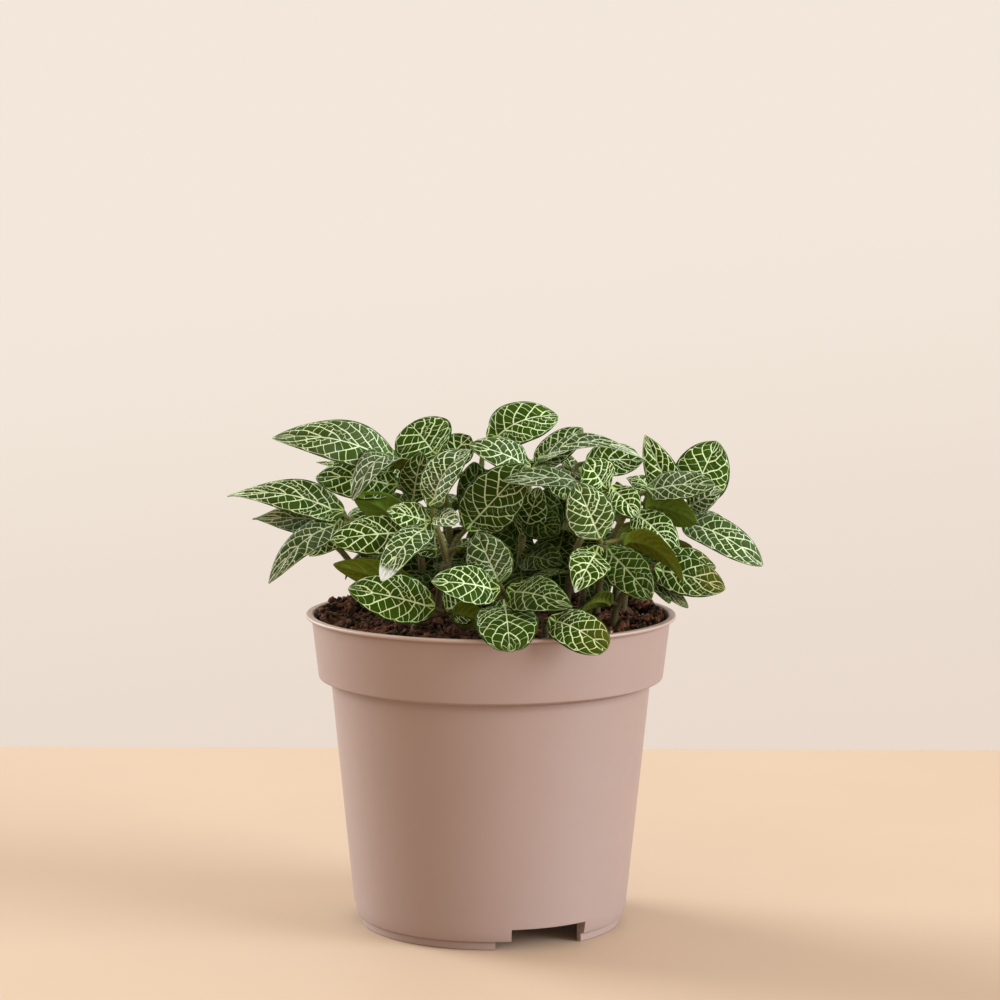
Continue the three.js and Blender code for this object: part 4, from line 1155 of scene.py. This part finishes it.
def rounded(corners, steps=5):
    """A profile whose corners (radius, height, rounding) are rounded by quadratic curves that start and end
    that far from each corner."""
    points = [np.array(corners[0][:2], float)]
    for k in range(1, len(corners) - 1):
        here = np.array(corners[k][:2], float)
        before, after = np.array(corners[k - 1][:2], float), np.array(corners[k + 1][:2], float)
        size = corners[k][2]
        if size == 0:
            points.append(here)
            continue
        start = here + unit(before - here) * min(size, 0.45 * np.linalg.norm(before - here))
        end = here + unit(after - here) * min(size, 0.45 * np.linalg.norm(after - here))
        for w in np.linspace(0, 1, steps):
            points.append((1 - w) ** 2 * start + 2 * w * (1 - w) * here + w * w * end)
    points.append(np.array(corners[-1][:2], float))
    return np.array(points)


def turned(profile, around):
    """The profile turned about Z: rings of points at equal angles, closed at both ends on the axis."""
    angle = np.linspace(0, 2 * np.pi, around, endpoint=False)
    ring = np.stack([np.cos(angle), np.sin(angle)], -1)
    body = profile[1:-1]
    rings = np.concatenate(
        [body[:, None, :1] * ring[None], np.broadcast_to(body[:, None, 1:], (len(body), around, 1))], -1)
    ends = np.array([[0, 0, profile[0, 1]], [0, 0, profile[-1, 1]]])
    return np.concatenate([rings.reshape(-1, 3), ends]), loop_faces(len(body), around)


def flipped(faces):
    """The same faces, turned round."""
    return [part[:, ::-1] for part in faces]


def sector_cutter(name, outer, start, end, height):
    """A block that is a ring sector in plan, to cut a notch of that height from the foot."""
    angle = np.radians(np.linspace(start, end, 12))
    radii = np.array([POT["foot_inner"] - 3, outer])
    heights = np.array([-1.0, height])
    plan = np.stack([np.cos(angle), np.sin(angle)], -1)
    corners = [(radii[0], heights[0]), (radii[1], heights[0]), (radii[1], heights[1]), (radii[0], heights[1])]
    rings = np.stack([np.concatenate([plan * r, np.full((len(angle), 1), z)], -1) for r, z in corners], 1)
    ends = np.stack([rings[0].mean(0), rings[-1].mean(0)])
    build = Build()
    build.add(np.concatenate([rings.reshape(-1, 3), ends]), loop_faces(len(angle), 4), 0)
    return build.mesh(name, [])


def drain_cutter(name, angle):
    """A short cylinder that cuts one drain hole."""
    circle = DRAIN["circle"]
    centre = np.array([circle * math.cos(angle), circle * math.sin(angle), POT["plate_under"]])
    points = centre + np.array([[0, 0, -2.0], [0, 0, 4.0]])
    build = Build()
    build.add(*tube(points, np.array([DRAIN["radius"]] * 2), 32), 0)
    return build.mesh(name, [])


def cut(piece, cutters):
    """Cuts the cutters from the piece for good, and removes them."""
    for cutter in cutters:
        modifier = piece.modifiers.new("cut", "BOOLEAN")
        modifier.operation = "DIFFERENCE"
        modifier.solver = "EXACT"
        modifier.object = cutter
    bpy.context.view_layer.update()
    done = bpy.data.meshes.new_from_object(piece.evaluated_get(bpy.context.evaluated_depsgraph_get()))
    piece.modifiers.clear()
    piece.data = done
    for cutter in cutters:
        bpy.data.objects.remove(cutter)


def pot_profile():
    """The pot's outline from the axis under the plate, out and up to the rim, and back down its inside to
    the axis, as corners (radius, height, rounding)."""
    p, w = POT, POT["wall"]
    rim, lip = p["rim_radius"] - 0.05, p["lip_bottom"]
    band, body = p["band_bottom_height"], p["body_top_height"]
    return [
        (0, p["plate_under"], 0), (p["foot_inner"], p["plate_under"], 0.8), (p["foot_inner"], 0, 0.4),
        (p["foot_radius"], 0, 0.4), (p["foot_radius"], p["skirt_height"], 0.15),
        (p["skirt_radius"], p["skirt_height"], 0.5), (p["body_bottom"] - 0.1, p["step_height"], 2.4),
        (p["body_top"], body, 0.5), (p["band_bottom"], band, 0.45), (p["band_top"], lip, 0.12),
        (rim, lip + 0.25, 0.5), (rim, p["height"], 0.6), (p["lip_inner"], p["height"], 0.5),
        (p["band_top"] - w, lip - 1.2, 1.0), (p["band_bottom"] - w, band + 0.9, 1.0),
        (p["body_top"] - w, body + 1.3, 0.6), (p["body_bottom"] - w + 0.2, p["plate_top"], 1.5),
        (0, p["plate_top"], 0),
    ]


def pot_cutters():
    """The cutters of the notches, each a little wider in the foot ring than in the skirt, and of the drain
    holes."""
    cutters = []
    for k in range(NOTCH["count"]):
        front = -90 + k * 360 / NOTCH["count"]
        ring, start = front + NOTCH["ring_start"], front + NOTCH["start"]
        end = start + NOTCH["sweep"]
        beyond, within = POT["body_bottom"] + 3, POT["foot_radius"] + 0.3
        cutters.append(sector_cutter(f"notch_{k}", beyond, start, end, NOTCH["height"]))
        cutters.append(sector_cutter(f"ring_{k}", within, ring, start + 4, NOTCH["ring_height"]))
    for k in range(DRAIN["count"]):
        cutters.append(drain_cutter(f"drain_{k}", 2 * math.pi * k / DRAIN["count"]))
    return cutters


def make_pot():
    """The pot, turned in one wall with rounded edges, then cut by its notches and its drain holes."""
    build = Build()
    points, faces = turned(rounded(pot_profile()), 180)
    build.add(points, flipped(faces), 0)
    piece = build.mesh("nursery_pot", [pot_plastic()])
    cut(piece, pot_cutters())
    piece.data.set_sharp_from_angle(angle=math.radians(40))
    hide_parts("pot")
    return piece


# The peat


def rough_lumps(x, y, draw, count, low, high):
    """A sum of sines of random direction and wavelength, from low to high, over the square root of their
    count."""
    total = np.zeros_like(x)
    for _ in range(count):
        angle, phase = draw.uniform(0, 2 * math.pi, 2)
        wave = draw.uniform(low, high)
        total += np.sin((x * math.cos(angle) + y * math.sin(angle)) * 2 * math.pi / wave + phase)
    return total / math.sqrt(count)


ICOSA_EDGE = (1 + math.sqrt(5)) / 2
ICOSA_POINTS = unit(np.array([
    [-1, ICOSA_EDGE, 0], [1, ICOSA_EDGE, 0], [-1, -ICOSA_EDGE, 0], [1, -ICOSA_EDGE, 0],
    [0, -1, ICOSA_EDGE], [0, 1, ICOSA_EDGE], [0, -1, -ICOSA_EDGE], [0, 1, -ICOSA_EDGE],
    [ICOSA_EDGE, 0, -1], [ICOSA_EDGE, 0, 1], [-ICOSA_EDGE, 0, -1], [-ICOSA_EDGE, 0, 1]]))
ICOSA_FACES = np.array([
    [0, 11, 5], [0, 5, 1], [0, 1, 7], [0, 7, 10], [0, 10, 11], [1, 5, 9], [5, 11, 4], [11, 10, 2], [10, 7, 6],
    [7, 1, 8], [3, 9, 4], [3, 4, 2], [3, 2, 6], [3, 6, 8], [3, 8, 9], [4, 9, 5], [2, 4, 11], [6, 2, 10],
    [8, 6, 7], [9, 8, 1]])


def add_crumbs(build, centres, sizes, flat, draw):
    """Small irregular lumps: icosahedra whose corners are moved in and out, stretched, and turned by random
    unit quaternions."""
    count = len(centres)
    corners = ICOSA_POINTS[None] * draw.uniform(0.65, 1.25, (count, 12, 1))
    stretch = draw.uniform(0.55, 1.25, (count, 1, 3)) * np.array([1, 1, flat])
    w, x, y, z = unit(draw.normal(size=(count, 4))).T
    matrix = np.stack([
        1 - 2 * (y * y + z * z), 2 * (x * y - w * z), 2 * (x * z + w * y),
        2 * (x * y + w * z), 1 - 2 * (x * x + z * z), 2 * (y * z - w * x),
        2 * (x * z - w * y), 2 * (y * z + w * x), 1 - 2 * (x * x + y * y)], -1).reshape(count, 3, 3)
    corners = np.einsum("nij,nkj->nki", matrix, corners * stretch)
    points = centres[:, None] + corners * sizes[:, None, None]
    faces = (12 * np.arange(count)[:, None, None] + ICOSA_FACES).reshape(-1, 3)
    build.add(points, faces, 0)


def random_ground(draw, count, edge):
    """Random places on the peat, evenly spread over a disc."""
    radius = edge * np.sqrt(draw.uniform(0, 1, count))
    angle = draw.uniform(0, 2 * math.pi, count)
    x, y = radius * np.cos(angle), radius * np.sin(angle)
    return x, y, soil_height(x, y)


def peat_body(draw, edge):
    """The peat as rings of points: the rough top from the middle to the edge, then down the pot's inside."""
    angle = np.linspace(0, 2 * np.pi, PEAT["around"], endpoint=False)
    radii = np.linspace(0.8, edge, PEAT["rings"])[:, None]
    x, y = radii * np.cos(angle), radii * np.sin(angle)
    lumps = sum(depth * rough_lumps(x, y, draw, PEAT["waves"], *waves) for depth, *waves in PEAT["lumps"])
    top = np.stack([x, y, soil_height(x, y) + lumps - PEAT["sunk"]], -1)
    low = [(POT["band_bottom"] - 2.3, POT["band_bottom_height"] + 1.5),
           (POT["body_top"] - 1.8, POT["body_top_height"] + 1.6), (POT["body_bottom"] - 1.0, 12.0),
           (POT["body_bottom"] - 1.6, POT["plate_top"] + 0.4)]
    wall = [np.stack([r * np.cos(angle), r * np.sin(angle), np.full_like(angle, z)], -1) for r, z in low]
    rings = np.concatenate([top, np.stack(wall)])
    ends = np.array([[0, 0, top[0, :, 2].mean()], [0, 0, low[-1][1]]])
    return np.concatenate([rings.reshape(-1, 3), ends]), flipped(loop_faces(len(rings), len(angle)))


def add_heap(build, draw, edge):
    """Crumbs heaped against the rim at the back and the sides, higher towards it by a smooth step."""
    count = HEAP["count"]
    angle = np.radians(draw.uniform(HEAP["start"], HEAP["end"], count))
    sizes = draw.uniform(0.5, 1.3, count)
    radius = edge - 0.6 - HEAP["depth"] * draw.uniform(0, 1, count) ** 1.5
    x, y = radius * np.cos(angle), radius * np.sin(angle)
    lift = HEAP["height"] * smoothstep(radius, edge - 6, edge - 2) * draw.uniform(0.2, 1, count)
    add_crumbs(build, np.stack([x, y, soil_height(x, y) + lift], -1), sizes, 0.9, draw)


def make_peat():
    """The peat as one closed body with a rough top, and loose crumbs on it."""
    draw = np.random.default_rng(SEEDS["peat"])
    edge = POT["band_top"] - POT["wall"] - 0.9
    build = Build()
    build.add(*peat_body(draw, edge), 0)
    for count, small, large in PEAT["crumbs"]:
        x, y, z = random_ground(draw, count, edge - 1.5)
        sizes = draw.uniform(small, large, count)
        add_crumbs(build, np.stack([x, y, z + 0.25 * sizes], -1), sizes, 0.8, draw)
    add_heap(build, draw, edge)
    piece = build.mesh("peat", [peat_skin()])
    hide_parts("soil")
    return piece


def make_stones():
    """A few pale grit stones lying on the peat, the largest at the front left."""
    draw = np.random.default_rng(SEEDS["stones"])
    x, y, z = random_ground(draw, STONES["count"], STONES["edge"])
    x[0], y[0] = STONES["largest_at"]
    z[0] = soil_height(x[0], y[0])
    sizes = draw.uniform(*STONES["sizes"], len(x))
    sizes[0] = STONES["largest"]
    build = Build()
    add_crumbs(build, np.stack([x, y, z + 0.8 * sizes], -1), sizes, 0.8, draw)
    piece = build.mesh("grit", [plain_skin("grit_stone", TINT["grit"], 500.0, 0.6)])
    return piece


def make_fibres():
    """Reddish coir fibres: thin tubes along gentle arcs that lie on the peat and rise a little from it."""
    draw = np.random.default_rng(SEEDS["fibres"])
    build = Build()
    for _ in range(FIBRES["count"]):
        x, y, _ = random_ground(draw, 1, FIBRES["edge"])
        heading, bend = draw.uniform(0, 2 * math.pi), draw.normal(0, FIBRES["bend"])
        length, lift = draw.uniform(*FIBRES["length"]), draw.uniform(*FIBRES["lift"])
        k = np.linspace(0, 1, 12)
        turn = heading + bend * k
        px = x[0] + np.cumsum(np.cos(turn)) * length / len(k)
        py = y[0] + np.cumsum(np.sin(turn)) * length / len(k)
        shrink = np.minimum(1, FIBRES["reach"] / np.maximum(np.hypot(px, py), 1))
        px, py = px * shrink, py * shrink
        path = np.stack([px, py, soil_height(px, py) + 0.5 + lift * np.sin(math.pi * k)], -1)
        build.add(*tube(path, np.full(len(k), draw.uniform(*FIBRES["radius"])), 5), 0)
    piece = build.mesh("coir_fibres", [plain_skin("coir", TINT["coir"], 90.0, 0.7)])
    return piece


# The shoots


def make_shoots():
    """Each shoot's stem, leaves and hairs as one piece that stands for its solid in the frame. The leaves
    that are placed one by one are the finer ones."""
    leaves = list_leaves()
    spread(leaves)
    group = vein_group()
    materials = [leaf_upper(group), leaf_under(group), stem_skin(), hair_white()]
    pieces = []
    for index, shoot in enumerate(SHOOTS):
        own = np.flatnonzero(leaves["index"] == index)
        draw = np.random.default_rng(SEEDS["hairs"] + index)
        build = Build()
        add_stem(build, shoot, sorted(set(leaves["at"][own])))
        for which in own:
            rows, columns = (56, 25) if leaves["node"][which] < 0 else (36, 17)
            add_leaf(build, one_leaf(leaves, which), rows, columns)
        hairs_of(build, shoot, leaves, own, draw)
        piece = build.mesh(f"leafy_shoot_{index + 1:02d}", materials, ("net", "blade", "grain", "look"))
        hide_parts(f"shoot_{index + 1:02d}")
        pieces.append(piece)
    return pieces


# Camera, light and floor


def make_camera():
    """A camera at the place and angle that the pot's outline gives: 0.96 m in front, looking down 6
    degrees."""
    pitch, roll = math.radians(CAMERA["pitch"]), math.radians(CAMERA["roll"])
    forward = Vector((0, math.cos(pitch), -math.sin(pitch)))
    up = Vector((0, math.sin(pitch), math.cos(pitch)))
    right = Vector((1, 0, 0))
    across = right * math.cos(roll) + up * math.sin(roll)
    over = up * math.cos(roll) - right * math.sin(roll)
    data = bpy.data.cameras.new("camera")
    data.lens, data.sensor_width = CAMERA["lens"], CAMERA["sensor"]
    camera = bpy.data.objects.new("camera", data)
    bpy.context.scene.collection.objects.link(camera)
    columns = Matrix((across, over, -forward)).transposed()
    camera.matrix_world = Matrix.Translation(Vector(CAMERA["place"])) @ columns.to_4x4()
    bpy.context.scene.camera = camera


def add_sun(name, azimuth, elevation, strength, colour, softness):
    """A distant light: its azimuth from the front to the right and its elevation, in degrees, and the angle
    in degrees that it fills, which makes its shadows soft."""
    data = bpy.data.lights.new(name, "SUN")
    data.energy, data.color, data.angle = strength, colour, math.radians(softness)
    light = bpy.data.objects.new(name, data)
    bpy.context.scene.collection.objects.link(light)
    a, b = math.radians(azimuth), math.radians(elevation)
    light.location = (math.sin(a) * math.cos(b), -math.cos(a) * math.cos(b), math.sin(b))
    light.rotation_euler = light.location.to_track_quat("Z", "Y").to_euler()


def make_world():
    """An even pale surround, a little darker low down and on the right."""
    world = bpy.data.worlds.new("world")
    bpy.context.scene.world = world
    world.use_nodes = True
    tree = world.node_tree
    parts = split(tree, tree.nodes.new("ShaderNodeTexCoord").outputs["Generated"])
    share = ramp(tree, math_node(tree, "MULTIPLY_ADD", parts[0], -0.12, parts[2]), -0.21, -0.01)
    colour = mix(tree, share, TINT["surround_low"], TINT["surround_high"])
    tree.links.new(colour, tree.nodes["Background"].inputs["Color"])


def make_studio():
    """A plain floor that ends behind the pot, the pale surround, a cool key light low on the right and
    another from behind on the left."""
    side, back, level = FLOOR["side"], FLOOR["back"], FLOOR["level"]
    plan = np.array([[-side, -side], [side, -side], [side, back], [-side, back]])
    build = Build()
    build.add(np.insert(plan, 2, level, axis=1), np.array([[0, 1, 2, 3]]), 0)
    build.mesh("floor", [plain_skin("floor_pale", TINT["floor"], 12.0, 0.6)])
    make_world()
    add_sun("key", 68, 18, 3.8, (0.78, 0.91, 1.0), 36)
    add_sun("rim", -122, 22, 4.0, (0.86, 0.97, 1.0), 34)
    bpy.context.scene.view_settings.view_transform = "Standard"


make_camera()
make_studio()
for piece in [make_pot(), make_peat(), make_stones(), make_fibres(), *make_shoots()]:
    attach(piece, "root")
